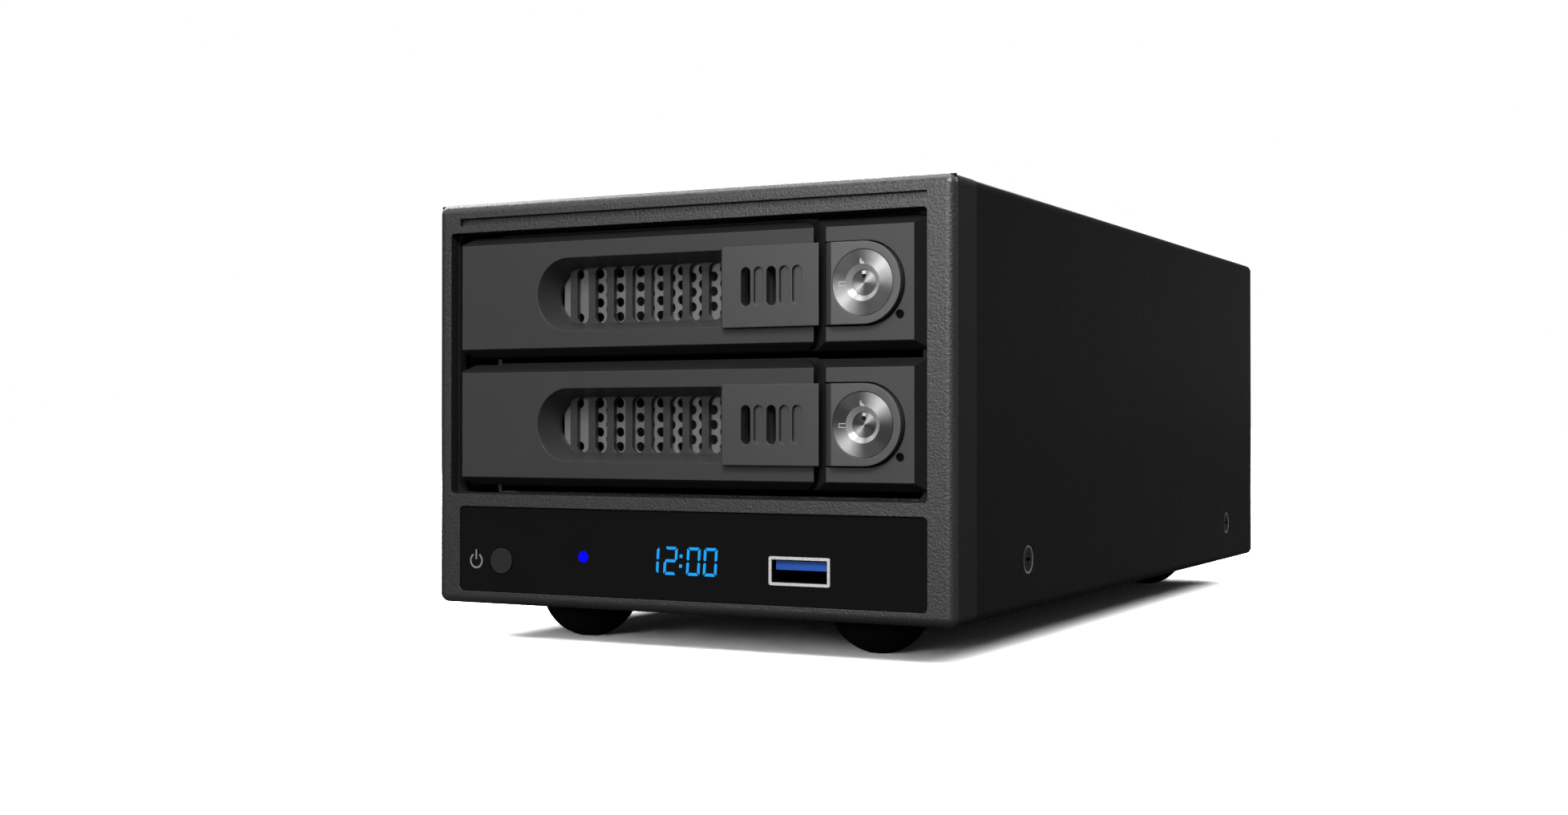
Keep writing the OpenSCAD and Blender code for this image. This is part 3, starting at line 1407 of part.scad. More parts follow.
// Tray moulding: front plate with ears, floor, side rails and ribs
module tray_shape() {
    window_h = 2 * (pill_r + pill_wall);
    catch_room = catch_x0 + catch_t + cut;
    difference() {
        union() {
            box(nose_x0, block_x0, nose_y0, nose_y1, tray_under, half_base + ear_gap);
            box(nose_x0, tray_x1, nose_y0, rail_y1, tray_under, tray_floor_top);
            box(tray_x0, tray_x1, pivot_y, rail_y1, tray_under, tray_floor_top);
            box(tray_x0, tray_x0 + rail_t, pivot_y, rail_y1, tray_under, rail_top);
            box(tray_x1 - rail_t, tray_x1, block_d, rail_y1, tray_under, rail_top);
            for (s = [-1, 1]) ear_shape(s);
            for (x = [nose_x0 + rib_in, block_x0 - rib_t]) box(x, x + rib_t, nose_y1 - bite,
                drive_y0 - drive_gap, tray_floor_top - bite, rail_top);
        }
        box(pill_x0 - 2 * pill_wall, pill_x0 + pill_l + pill_wall, nose_y0 - cut, nose_y1 + cut,
            -window_h / 2, window_h / 2);
        box(pill_x0 + pill_l, catch_room, nose_y0 - cut, nose_y1 + cut,
            -catch_h / 2 - cut, catch_h / 2 + cut);
        difference() {
            translate([pivot_x, pivot_y, -pitch]) cylinder(r = swing_r, h = 2 * pitch, $fn = 96);
            box(pivot_x - ear_r - bite, pivot_x + 2 * swing_r, 0, 2 * swing_r, -2 * pitch, 2 * pitch);
        }
        translate([pivot_x, pivot_y, -pitch]) cylinder(d = pin_d, h = 2 * pitch);
        box(drive_x0 + tray_border, drive_x1 - tray_border, drive_y0 + tray_border,
            rail_y1 - tray_border, tray_under - cut, tray_floor_top + cut);
        groove(tray_x0 - cut, tray_x0 + ledge_reach + ledge_gap);
        groove(tray_x1 - ledge_reach - ledge_gap, tray_x1 + cut);
        drive_screw_places() {
            translate([0, 0, tray_under - cut])
                cylinder(d = drive_screw_head + 2 * hole_gap, h = cut + 2 * hole_gap);
            translate([0, 0, tray_under]) cylinder(d1 = drive_screw_head + 2 * hole_gap,
                d2 = drive_screw_d + 2 * hole_gap, h = tray_floor_t + bite);
        }
    }
}

// Groove along a side rail for the cage's ledge, open at the rear
module groove(x0, x1) {
    box(x0, x1, pivot_y, rail_y1 + cut, ledge_z0 - ledge_gap, ledge_z0 + ledge_h + ledge_gap);
}

// Ear that holds one end of the lever's pin
module ear_shape(s) {
    z = s > 0 ? barrel_h / 2 + ear_gap : -barrel_h / 2 - ear_gap - ear_h;
    translate([pivot_x, pivot_y, z]) cylinder(r = ear_r, h = ear_h);
    box(pivot_x, nose_x0 + cut, pivot_y - ear_r + bite, pivot_y + ear_r, z, z + ear_h);
}

// Places of the four screws under a drive
module drive_screw_places() {
    for (x = [drive_x0 + drive_screw_side, drive_x1 - drive_screw_side], y = [screw_y0, screw_y1])
        translate([x, y, 0]) children();
}

// Countersunk screws with a cross recess, through the tray floor into the drive
module drive_screw_shape() {
    drive_screw_places() {
        difference() {
            translate([0, 0, tray_under + hole_gap])
                cylinder(d1 = drive_screw_head, d2 = drive_screw_d, h = tray_floor_t - hole_gap);
            for (a = [0, 90]) rotate(a) translate([-cross_l / 2, -cross_w / 2, tray_under])
                cube([cross_l, cross_w, cross_w]);
        }
        translate([0, 0, tray_floor_top - bite]) cylinder(d = drive_screw_d, h = drive_screw_l);
    }
}

// Drive: casting with a hollow for its board, a raised lid, the motor's hub and the plug's recess
module drive_shape() {
    lid_z = drive_z0 + drive_h - lid_h;
    hollow_z = drive_z0 + drive_hollow;
    difference() {
        union() {
            box(drive_x0, drive_x1, drive_y0, drive_y1, hollow_z, lid_z);
            box(drive_x0, drive_x1, drive_y0, drive_y0 + drive_nose, drive_z0, lid_z);
            box(drive_x0, drive_x0 + drive_side, drive_y0, drive_y1, drive_z0, lid_z);
            box(drive_x1 - drive_side, drive_x1, drive_y0, drive_y1, drive_z0, lid_z);
            along_z(lid_z - bite, lid_z + lid_h) round_rect(drive_x0 + lid_in, drive_x1 - lid_in,
                drive_y0 + lid_in, drive_y1 - lid_in, lid_r);
        }
        box(sata_x0 - sata_fit, sata_x1 + sata_fit, drive_y1 - sata_depth - sata_fit,
            drive_y1 + cut, drive_z0 - cut, sata_z0 + sata_h + sata_fit);
        drive_screw_places() translate([0, 0, drive_z0 - cut])
            cylinder(d = drive_screw_d + 4 * bite, h = cut + drive_screw_l + hole_gap);
    }
    translate([tray_mid, hub_cy, drive_z0 + hole_gap]) cylinder(r = hub_r, h = drive_hollow);
}

// Circuit board under the drive, with its round cut for the motor's hub
module drive_board_shape() {
    z = drive_z0 + drive_hollow - board_t;
    side = drive_side + 2 * sata_fit;
    difference() {
        box(drive_x0 + side, drive_x1 - side, hub_cy + hub_r + drive_board_gap / 2,
            drive_y1 - sata_depth - 3 * sata_fit, z, z + board_t);
        translate([tray_mid, hub_cy, drive_z0])
            cylinder(r = hub_r + drive_board_gap, h = drive_h);
    }
}

// ---- one module per tray piece ----
tray_grey = [0.22, 0.22, 0.22];
dark_grey = [0.12, 0.12, 0.12];
metal = [0.75, 0.75, 0.75];

module upper_tray() { color(dark_grey) in_bay(1) tray_shape(); }
module lower_tray() { color(dark_grey) in_bay(0) tray_shape(); }
module upper_lever() { color(tray_grey) in_bay(1) lever_shape(); }
module lower_lever() { color(tray_grey) in_bay(0) lever_shape(); }
module upper_grip_plate() { color(tray_grey) in_bay(1) grip_shape(); }
module lower_grip_plate() { color(tray_grey) in_bay(0) grip_shape(); }
module upper_vent_mesh() { color([0.4, 0.4, 0.4]) in_bay(1) mesh_shape(); }
module lower_vent_mesh() { color([0.4, 0.4, 0.4]) in_bay(0) mesh_shape(); }
module upper_lever_pin() { color(metal) in_bay(1) pin_shape(); }
module lower_lever_pin() { color(metal) in_bay(0) pin_shape(); }
module upper_lock_block() { color(tray_grey) in_bay(1) block_shape(); }
module lower_lock_block() { color(tray_grey) in_bay(0) block_shape(); }
module upper_tray_lamp() { color(dark_grey) in_bay(1) lamp_shape(); }
module lower_tray_lamp() { color(dark_grey) in_bay(0) lamp_shape(); }
module upper_lock_button() { color(tray_grey) in_bay(1) button_shape(); }
module lower_lock_button() { color(tray_grey) in_bay(0) button_shape(); }
module upper_lock_disc() { color(metal) in_bay(1) disc_shape(); }
module lower_lock_disc() { color(metal) in_bay(0) disc_shape(); }
module upper_key_plug() { color(metal) in_bay(1) plug_shape(); }
module lower_key_plug() { color(metal) in_bay(0) plug_shape(); }
module upper_drive() { color([0.6, 0.6, 0.62]) in_bay(1) drive_shape(); }
module lower_drive() { color([0.6, 0.6, 0.62]) in_bay(0) drive_shape(); }
module upper_drive_board() { color([0.05, 0.25, 0.12]) in_bay(1) drive_board_shape(); }
module lower_drive_board() { color([0.05, 0.25, 0.12]) in_bay(0) drive_board_shape(); }
module upper_drive_screws() { color(metal) in_bay(1) drive_screw_shape(); }
module lower_drive_screws() { color(metal) in_bay(0) drive_screw_shape(); }

front_bezel();
control_panel();
power_button();
power_lamp();
display_unit();
usb_shell();
usb_tongue();
power_switch();
front_board();
front_board_screws();
wrap_cover();
cover_screws();
bottom_chassis();
feet();
drive_cage();
backplane_board();
backplane_sockets();
main_board();
board_standoffs();
board_screws();
board_chips();
heat_sink();
lan_socket();
rear_usb_socket();
video_socket();
power_inlet();
rear_panel();
fan_frame();
fan_rotor();
fan_guard();
fan_screws();
upper_tray();
upper_lever();
upper_grip_plate();
upper_vent_mesh();
upper_lever_pin();
upper_lock_block();
upper_tray_lamp();
upper_lock_button();
upper_lock_disc();
upper_key_plug();
upper_drive();
upper_drive_board();
upper_drive_screws();
lower_tray();
lower_lever();
lower_grip_plate();
lower_vent_mesh();
lower_lever_pin();
lower_lock_block();
lower_tray_lamp();
lower_lock_button();
lower_lock_disc();
lower_key_plug();
lower_drive();
lower_drive_board();
lower_drive_screws();
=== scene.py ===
# Looks for the two-bay network attached storage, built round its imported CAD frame.
import math

import bmesh
import bpy
from mathutils import Euler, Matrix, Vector
from mathutils.bvhtree import BVHTree


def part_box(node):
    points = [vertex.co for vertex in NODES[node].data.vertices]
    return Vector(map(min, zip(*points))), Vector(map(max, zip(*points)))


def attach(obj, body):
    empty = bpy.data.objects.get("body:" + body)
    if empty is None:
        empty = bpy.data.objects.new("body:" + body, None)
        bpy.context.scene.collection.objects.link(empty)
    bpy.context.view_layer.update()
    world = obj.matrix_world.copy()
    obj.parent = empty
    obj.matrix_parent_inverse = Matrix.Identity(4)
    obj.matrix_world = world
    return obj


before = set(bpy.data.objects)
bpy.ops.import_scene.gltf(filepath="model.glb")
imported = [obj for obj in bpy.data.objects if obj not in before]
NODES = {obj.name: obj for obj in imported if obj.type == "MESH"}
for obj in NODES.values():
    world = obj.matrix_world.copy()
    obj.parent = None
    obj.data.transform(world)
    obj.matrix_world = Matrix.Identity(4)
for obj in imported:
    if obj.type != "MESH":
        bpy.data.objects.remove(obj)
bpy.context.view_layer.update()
MM = 0.001
NEAR = 0.1 * MM                # a vertex this near to a flat face counts as on it
LEVELS = ("upper", "lower")
SIDES = (("right", 1), ("left", -1))


def places(name):
    """Places of a node's vertices at rest."""
    return [v.co for v in NODES[name].data.vertices]


def span(points):
    """Lowest and highest corner of some places."""
    return [Vector([pick(p[i] for p in points) for i in range(3)]) for pick in (min, max)]


def middle_of(name):
    """Middle of a node's box."""
    low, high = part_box(name)
    return (low + high) / 2


# ---- camera ---------------------------------------------------------------------
W, H = 1568, 815               # the photograph's frame, scaled to a long side of 1568
LONG_SIDE = max(W, H)
CAM_AT = (0.20146, -0.46217, 0.04829)
CAM_YAW = 27.34                # degrees to the left of +Y
CAM_PITCH = 0.555              # degrees above level
LENS = 42.85
SENSOR = 36.0
SHIFT_X = 0.0
SHIFT_Y = 0.0
LEVEL_TURN = 90                # degrees that turn a camera from looking down to looking level

cam_data = bpy.data.cameras.new("camera")
cam_data.sensor_fit = "AUTO"
cam_data.sensor_width = SENSOR
cam_data.lens = LENS
cam_data.shift_x = SHIFT_X
cam_data.shift_y = SHIFT_Y
cam_data.clip_start = 0.01
cam_data.clip_end = 100.0
camera = bpy.data.objects.new("camera", cam_data)
camera.location = CAM_AT
camera.rotation_euler = Euler((math.radians(LEVEL_TURN + CAM_PITCH), 0, math.radians(CAM_YAW)))
scene = bpy.context.scene
scene.collection.objects.link(camera)
scene.camera = camera
bpy.context.view_layer.update()

# Places in the photograph's scaled frame: x and y, or one of them where only an edge counts
POINTS = {
    "case_left": (441.7, None),
    "case_right": (1250.2, None),
    "case_top": (None, 172.3),
    "front_right_foot_low": (None, 651.9),
    "front_left_foot_low": (None, 634.4),
    "upper_disc": (862.3, 281.6),
    "lower_disc": (861.8, 425.7),
    "upper_tray_lamp": (899.7, 313.2),
    "lower_tray_lamp": (899.4, 456.9),
    "upper_grip_plate": (770.9, 285.4),
    "power_button": (502.1, 560.3),
    "power_lamp": (583.0, 557.1),
    "power_symbol": (476.4, 558.7),
    "display_digits": (687.8, 561.5),
    "usb_rim": (800.2, 571.6),
    "front_side_screw": (1028.9, 559.1),
    "rear_side_screw": (1226.5, 522.5),
}
MISS = 1000.0                  # metres that put a carrier that the ray misses after any that it meets


def ray_place(point, carriers):
    """Where the ray through an image point meets its carriers, or their place nearest to the ray."""
    x, y = point
    ahead = Vector((x - W / 2 + SHIFT_X * LONG_SIDE, H / 2 - y + SHIFT_Y * LONG_SIDE,
                    -LONG_SIDE * LENS / SENSOR))
    start = camera.matrix_world.translation
    way = (camera.matrix_world.to_3x3() @ ahead).normalized()
    found = []
    for obj in carriers:
        verts = [obj.matrix_world @ v.co for v in obj.data.vertices]
        tree = BVHTree.FromPolygons(verts, [p.vertices[:] for p in obj.data.polygons])
        hit, _, _, far = tree.ray_cast(start, way)
        if hit is None:
            near = min(verts, key=lambda v: (v - start - way * (v - start).dot(way)).length)
            far = (near - start).dot(way)
            hit, _, _, _ = tree.find_nearest(start + way * far)
            far += MISS
        found.append((far, hit))
    return min(found, key=lambda one: one[0])[1]


def in_picture(place):
    """Image point of a place, in the scaled frame."""
    local = camera.matrix_world.inverted() @ Vector(place)
    scale = LONG_SIDE * LENS / SENSOR / -local.z
    return (W / 2 + local.x * scale - SHIFT_X * LONG_SIDE, H / 2 - local.y * scale + SHIFT_Y * LONG_SIDE)


# ---- shader nodes -----------------------------------------------------------------
def srgb(value):
    """Linear value of an sRGB value from 0 to 255."""
    share = value / 255
    return share / 12.92 if share <= 0.04045 else ((share + 0.055) / 1.055) ** 2.4


def tone(*values):
    """Linear colour of one grey value or of three values from 0 to 255."""
    three = values * 3 if len(values) == 1 else values
    return tuple(srgb(v) for v in three) + (1.0,)


def feed(tree, node, sources):
    """Give a node's inputs plain values, or link them to the outputs of other nodes."""
    for slot, source in sources.items():
        if isinstance(source, bpy.types.NodeSocket):
            tree.links.new(source, node.inputs[slot])
        else:
            node.inputs[slot].default_value = source
    return node


def calculate(tree, kind, operation, *sources):
    """A Math or Vector Math node that works on its sources in their order."""
    node = tree.nodes.new(kind)
    node.operation = operation
    return feed(tree, node, dict(enumerate(sources)))


def number(tree, operation, *sources):
    """What a Math node makes of its sources."""
    return calculate(tree, "ShaderNodeMath", operation, *sources).outputs[0]


def vector(tree, operation, *sources):
    """What a Vector Math node makes of its sources, as a vector."""
    return calculate(tree, "ShaderNodeVectorMath", operation, *sources).outputs["Vector"]


def length_of(tree, source):
    """Length of a vector."""
    return calculate(tree, "ShaderNodeVectorMath", "LENGTH", source).outputs["Value"]


def ramp(tree, value, low, high, start=0.0, end=1.0):
    """From low to high while the value goes from start to end."""
    node = tree.nodes.new("ShaderNodeMapRange")
    feed(tree, node, {"Value": value, "From Min": start, "From Max": end, "To Min": low, "To Max": high})
    return node.outputs["Result"]


def blend(tree, share, first, second, kind="MIX"):
    """Two colours mixed: the first where the share is 0, the second where it is 1."""
    node = tree.nodes.new("ShaderNodeMix")
    node.data_type = "RGBA"
    node.blend_type = kind
    return feed(tree, node, {"Factor": share, "A": first, "B": second}).outputs["Result"]


def noise(tree, where, size, detail):
    """Noise with a feature size in mm."""
    node = tree.nodes.new("ShaderNodeTexNoise")
    feed(tree, node, {"Vector": where, "Scale": 1 / (size * MM), "Detail": detail})
    return node.outputs["Fac"]


def object_place(tree):
    """Place on the object, in its own frame."""
    return tree.nodes.new("ShaderNodeTexCoord").outputs["Object"]


def along(tree, where, axis):
    """One of a place's three numbers."""
    return feed(tree, tree.nodes.new("ShaderNodeSeparateXYZ"), {"Vector": where}).outputs[axis]


# ---- materials ------------------------------------------------------------------
NOISE_SPAN = (0.3, 0.7)        # between these lies nearly all that a noise gives
SMOOTHEST = 0.02               # least roughness
MATT = 0.85                    # roughness of what isn't finished to be seen
CONE_TONE = tone(188)
CONE_METAL = 0.6
LOOKS = {}


def surface(name, colour, rough=0.5, metal=0.0, level=0.5, grain=(0.4, 0.02), mottle=(9.0, 0.08),
            uneven=0.06, edge=0.0, glow=None, stretch=(1, 1, 1)):
    """Add a procedural look. Grain is the size and depth of the texture, mottle the size and share of
    the colour's variation, uneven the roughness's variation and edge the radius given to sharp edges,
    with sizes in mm. Level is the gloss, stretch scales the texture and glow is a lamp's light."""
    mat = bpy.data.materials.new(name)
    mat.use_nodes = True
    tree = mat.node_tree
    shader = tree.nodes["Principled BSDF"]
    scale = tree.nodes.new("ShaderNodeMapping")
    feed(tree, scale, {"Vector": object_place(tree), "Scale": stretch})
    broad = noise(tree, scale.outputs["Vector"], mottle[0], detail=3)
    fine = noise(tree, scale.outputs["Vector"], grain[0], detail=2)
    vary = ramp(tree, broad, 1 - mottle[1], 1 + mottle[1], *NOISE_SPAN)
    shade = tree.nodes.new("ShaderNodeCombineColor")
    feed(tree, shade, {"Red": vary, "Green": vary, "Blue": vary})
    bump = feed(tree, tree.nodes.new("ShaderNodeBump"),
                {"Strength": 1.0, "Distance": grain[1] * MM, "Height": fine})
    if edge:
        bevel = tree.nodes.new("ShaderNodeBevel")
        bevel.samples = 4
        bevel.inputs["Radius"].default_value = edge * MM
        tree.links.new(bevel.outputs["Normal"], bump.inputs["Normal"])
    feed(tree, shader, {
        "Base Color": blend(tree, 1.0, colour, shade.outputs["Color"], "MULTIPLY"),
        "Roughness": ramp(tree, fine, max(rough - uneven, SMOOTHEST), rough + uneven, *NOISE_SPAN),
        "Metallic": metal,
        "Specular IOR Level": level,
        "Normal": bump.outputs["Normal"],
    })
    if glow:
        feed(tree, shader, {"Emission Color": glow, "Emission Strength": 1.0})
    LOOKS[name] = mat


def parts_of(name):
    """Node tree and shader of a look."""
    tree = LOOKS[name].node_tree
    return tree, tree.nodes["Principled BSDF"]


def source_of(shader, slot):
    """What feeds a shader's input."""
    return shader.inputs[slot].links[0].from_socket


def repaint(name, shown, colour):
    """Make a look matt and of another colour where shown is 0."""
    tree, shader = parts_of(name)
    feed(tree, shader, {
        "Base Color": blend(tree, shown, colour, source_of(shader, "Base Color")),
        "Roughness": ramp(tree, shown, MATT, source_of(shader, "Roughness")),
    })


def shade_past_rim(name, y, colour, at_rear=False, metal=None):
    """Painted shade: another colour, and matt, past a rim at the front or the rear that ends at y,
    standing in for the shade on the walls there. A share of metal takes away more of the gloss there."""
    tree, shader = parts_of(name)
    way = "GREATER_THAN" if at_rear else "LESS_THAN"
    shown = number(tree, way, along(tree, object_place(tree), "Y"), y)
    repaint(name, shown, colour)
    if metal is not None:
        here = shader.inputs["Metallic"].default_value
        feed(tree, shader, {"Metallic": ramp(tree, shown, metal, here)})


def shade_off_face(name, low, high, colour):
    """Painted shade: another colour, and matt, beyond a front face that lies between two corners."""
    tree, _ = parts_of(name)
    where = object_place(tree)
    middle, half = (low + high) / 2, (high - low) / 2
    on_x = number(tree, "COMPARE", along(tree, where, "X"), middle.x, half.x)
    on_z = number(tree, "COMPARE", along(tree, where, "Z"), middle.z, half.z)
    repaint(name, number(tree, "MULTIPLY", on_x, on_z), colour)


def turned(name, axis, cone_r=None):
    """Turning marks round an axis along Y, with a brighter cone inside the radius given for it."""
    tree, shader = parts_of(name)
    feed(tree, shader, {"Anisotropic": 0.9, "Anisotropic Rotation": 0.25})
    from_axis = vector(tree, "SUBTRACT", object_place(tree), (axis.x, 0, axis.z))
    flat = vector(tree, "MULTIPLY", from_axis, (1, 0, 1))
    around = vector(tree, "CROSS_PRODUCT", flat, (0, 1, 0))
    feed(tree, shader, {"Tangent": vector(tree, "NORMALIZE", around)})
    if cone_r:
        within = number(tree, "LESS_THAN", length_of(tree, flat), cone_r)
        feed(tree, shader, {
            "Base Color": blend(tree, within, source_of(shader, "Base Color"), CONE_TONE),
            "Metallic": ramp(tree, within, 1.0, CONE_METAL),
        })


# Paint and black plastic of the case
PAINT = {"grain": (0.5, 0.006), "mottle": (16, 0.03)}
surface("bezel", tone(34), 0.42, level=0.95, grain=(0.5, 0.09), mottle=(14, 0.04), edge=0.2)
surface("raised", tone(52), 0.4, level=0.8, edge=0.25, **PAINT)
surface("lock_button", tone(62), 0.4, level=1.0, edge=0.25, **PAINT)
surface("cover", tone(30), 0.4, level=0.04, grain=(0.5, 0.005), mottle=(30, 0.05), edge=0.15)
surface("dark", tone(15), 0.55, level=0.2, edge=0.1)
surface("panel", tone(19), 0.12, level=0.1, grain=(1.5, 0.0006), mottle=(25, 0.05), uneven=0.03, edge=0.08)
surface("button", tone(36), 0.45, level=0.3, grain=(0.3, 0.01), edge=0.1)
surface("rubber", tone(18), 0.75, level=0.25, grain=(0.25, 0.02))
surface("tongue", tone(30, 84, 176), 0.35, grain=(0.3, 0.004), edge=0.05)
surface("board", tone(22, 84, 50), 0.35, grain=(1.2, 0.01), mottle=(2.2, 0.2))

# Metals
surface("mesh", tone(118), 0.38, metal=0.3, level=0.4, grain=(0.3, 0.006), edge=0.05)
surface("steel", tone(176, 178, 180), 0.36, metal=1.0, grain=(0.25, 0.003), mottle=(6, 0.05),
        stretch=(1, 0.08, 1))
surface("zinc", tone(186, 188, 190), 0.3, metal=1.0, grain=(0.3, 0.004))
surface("socket", tone(200), 0.28, metal=1.0, grain=(0.3, 0.003), edge=0.05)
surface("usb_rim", tone(228), 0.3, metal=0.35, level=0.1, grain=(0.4, 0.002), edge=0.05)
surface("dark_screw", tone(34), 0.35, level=0.3, grain=(0.3, 0.004), edge=0.12)
# Dark drive, partly a painted shade that makes the vent holes in front of it read black
surface("cast", tone(50, 51, 53), 0.45, metal=0.3, grain=(0.6, 0.015))
surface("sink", tone(120, 122, 126), 0.45, metal=1.0, grain=(0.3, 0.004))
surface("brass", tone(196, 170, 104), 0.3, metal=1.0, grain=(0.3, 0.003))

# Lamps, print, and painted highlights and shade
surface("lamp", tone(0, 0, 120), 0.4, level=0.1, grain=(0.4, 0.001), glow=tone(0, 0, 255))
# Dark lamp lens and display, and also the plates of painted shade
surface("dark_lamp_and_shade", tone(3, 3, 4), 0.4, level=0.05, grain=(0.4, 0.001))
surface("digits", tone(10, 60, 90), 0.5, level=0.1, grain=(0.4, 0.001), mottle=(1.5, 0.1),
        glow=tone(26, 155, 235))
surface("print", tone(132), 0.55, level=0.2, grain=(0.2, 0.003))
# Painted highlights: the notch edges on the locks, the rims of the side screws and a glint on the key plug
surface("notch", tone(190), 0.4, metal=0.5, grain=(0.2, 0.002))
surface("rim", tone(165), 0.4, metal=0.2, grain=(0.2, 0.002))
surface("bright", tone(235), 0.25, metal=0.6, grain=(0.2, 0.001))

# Painted shade: past their rims the bezel's sides and bay walls and the sockets' insides are dark, as in
# the photo
BEZEL_RIM, USB_RIM, SOCKET_RIM = 1.5 * MM, 0.3 * MM, 0.5 * MM
shade_past_rim("bezel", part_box("front_bezel")[0].y + BEZEL_RIM, tone(8), metal=0.55)
shade_past_rim("usb_rim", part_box("usb_shell")[0].y + USB_RIM, tone(4))
shade_past_rim("socket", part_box("lan_socket")[1].y - SOCKET_RIM, tone(9), at_rear=True)

# Tray fronts: grey paint on the flat face and a painted shade, near black, on bevels and walls; and the
# turned lock parts
FRONT_TONES = (("lever", 56), ("lock_block", 64))
BEVEL_SHADE = tone(4)
CONE_R = 3.75 * MM
for level in LEVELS:
    for piece, grey in FRONT_TONES:
        name = f"{level}_{piece}"
        verts = places(name)
        front = min(v.y for v in verts) + NEAR
        surface(name, tone(grey), 0.4, level=0.35, edge=0.3, **PAINT)
        shade_off_face(name, *span([v for v in verts if v.y < front]), BEVEL_SHADE)
    for piece, grey, cone_r in (("disc", 142, CONE_R), ("plug", 135, None)):
        name = f"{level}_{piece}"
        surface(name, tone(grey), 0.34, metal=1.0, grain=(0.12, 0.002), mottle=(3, 0.04))
        turned(name, middle_of(f"{level}_lock_disc"), cone_r)

LOOK_OF = {
    "front_bezel": "bezel", "control_panel": "panel", "power_button": "button", "power_lamp": "lamp",
    "display_unit": "dark_lamp_and_shade", "usb_shell": "usb_rim", "usb_tongue": "tongue", "power_switch": "dark",
    "front_board": "board", "front_board_screws": "zinc", "wrap_cover": "cover",
    "cover_screws": "dark_screw", "bottom_chassis": "cover", "feet": "rubber", "drive_cage": "steel",
    "backplane_board": "board", "backplane_sockets": "dark", "main_board": "board",
    "board_standoffs": "brass", "board_screws": "zinc", "board_chips": "dark", "heat_sink": "sink",
    "lan_socket": "socket", "rear_usb_socket": "socket", "video_socket": "socket",
    "power_inlet": "dark", "rear_panel": "cover", "fan_frame": "dark", "fan_rotor": "dark",
    "fan_guard": "zinc", "fan_screws": "zinc",
}
TRAY_LOOK = {
    "tray": "dark", "grip_plate": "raised", "vent_mesh": "mesh", "lever_pin": "dark_screw",
    "tray_lamp": "dark_lamp_and_shade", "lock_button": "lock_button", "drive": "cast", "drive_board": "board",
    "drive_screws": "zinc",
}
OWN_LOOK = {"lever": "lever", "lock_block": "lock_block", "lock_disc": "disc", "key_plug": "plug"}
for level in LEVELS:
    LOOK_OF.update({f"{level}_{piece}": look for piece, look in TRAY_LOOK.items()})
    LOOK_OF.update({f"{level}_{piece}": f"{level}_{look}" for piece, look in OWN_LOOK.items()})
for name, node in NODES.items():
    for place in node.material_slots:
        place.material = LOOKS[LOOK_OF[name]]


# ---- small pieces, with their sizes in mm ---------------------------------------------
PRINT_T = 0.04                 # thickness of printed and applied pieces, in mm


def plates(name, shapes, centre, look, body, thick=PRINT_T, turn=0):
    """A piece of one or more plates that face -Y, or are turned about Z by some degrees. Each shape
    is a closed outline of (x, z) in mm about the centre."""
    bm = bmesh.new()
    for outline in shapes:
        rear, front = [[bm.verts.new((x * MM, y * MM, z * MM)) for x, z in outline]
                       for y in (thick / 2, -thick / 2)]
        bm.faces.new(front)
        bm.faces.new(rear[::-1])
        for i in range(len(outline)):
            bm.faces.new((rear[i - 1], rear[i], front[i], front[i - 1]))
    bmesh.ops.recalc_face_normals(bm, faces=bm.faces)
    mesh = bpy.data.meshes.new(name)
    bm.to_mesh(mesh)
    bm.free()
    obj = bpy.data.objects.new(name, mesh)
    obj.location = centre
    obj.rotation_euler = (0, 0, math.radians(turn))
    obj.data.materials.append(LOOKS[look])
    scene.collection.objects.link(obj)
    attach(obj, body)


def bar(x0, x1, z0, z1):
    """Outline of a plain bar."""
    return [(x0, z0), (x1, z0), (x1, z1), (x0, z1)]


def slab(x0, x1, z0, z1, cut=0.25):
    """Outline of a bar with cut corners."""
    return [(x0 + cut, z0), (x1 - cut, z0), (x1, z0 + cut), (x1, z1 - cut),
            (x1 - cut, z1), (x0 + cut, z1), (x0, z1 - cut), (x0, z0 + cut)]


def arc(radius, width, start, end, steps):
    """Quads along an arc, as closed outlines, angles in degrees clockwise from the top."""
    parts = []
    for i in range(steps):
        a = math.radians(start + (end - start) * i / steps)
        b = math.radians(start + (end - start) * (i + 1) / steps)
        parts.append([(r * math.sin(t), r * math.cos(t))
                      for r, t in ((radius - width / 2, a), (radius + width / 2, a),
                                   (radius + width / 2, b), (radius - width / 2, b))])
    return parts


def moved(outline, x, z):
    """An outline at another place."""
    return [(a + x, b + z) for a, b in outline]


# Power sign on the panel: a ring that is open at the top, and a bar in the opening
panel = NODES["control_panel"]
SYMBOL_R, SYMBOL_W, SYMBOL_STEPS = 1.55, 0.4, 28
SYMBOL_OPEN = 32               # degrees from the top to where the ring begins
SYMBOL_BAR = (0.3, 2.5)        # z of its ends, from the ring's middle
SYMBOL_DROP = 0.4              # from the sign's middle down to the ring's
symbol = arc(SYMBOL_R, SYMBOL_W, SYMBOL_OPEN, 360 - SYMBOL_OPEN, SYMBOL_STEPS)
symbol.append(bar(-SYMBOL_W / 2, SYMBOL_W / 2, *SYMBOL_BAR))
plates("power_symbol", [moved(shape, 0, -SYMBOL_DROP) for shape in symbol],
       ray_place(POINTS["power_symbol"], [panel]), "print", "enclosure")

# Seven-segment clock on the display, leaning to the right
DIGIT_W, DIGIT_H, BAR_W, SLANT, SPLIT = 3.3, 6.0, 0.62, 0.06, 0.16
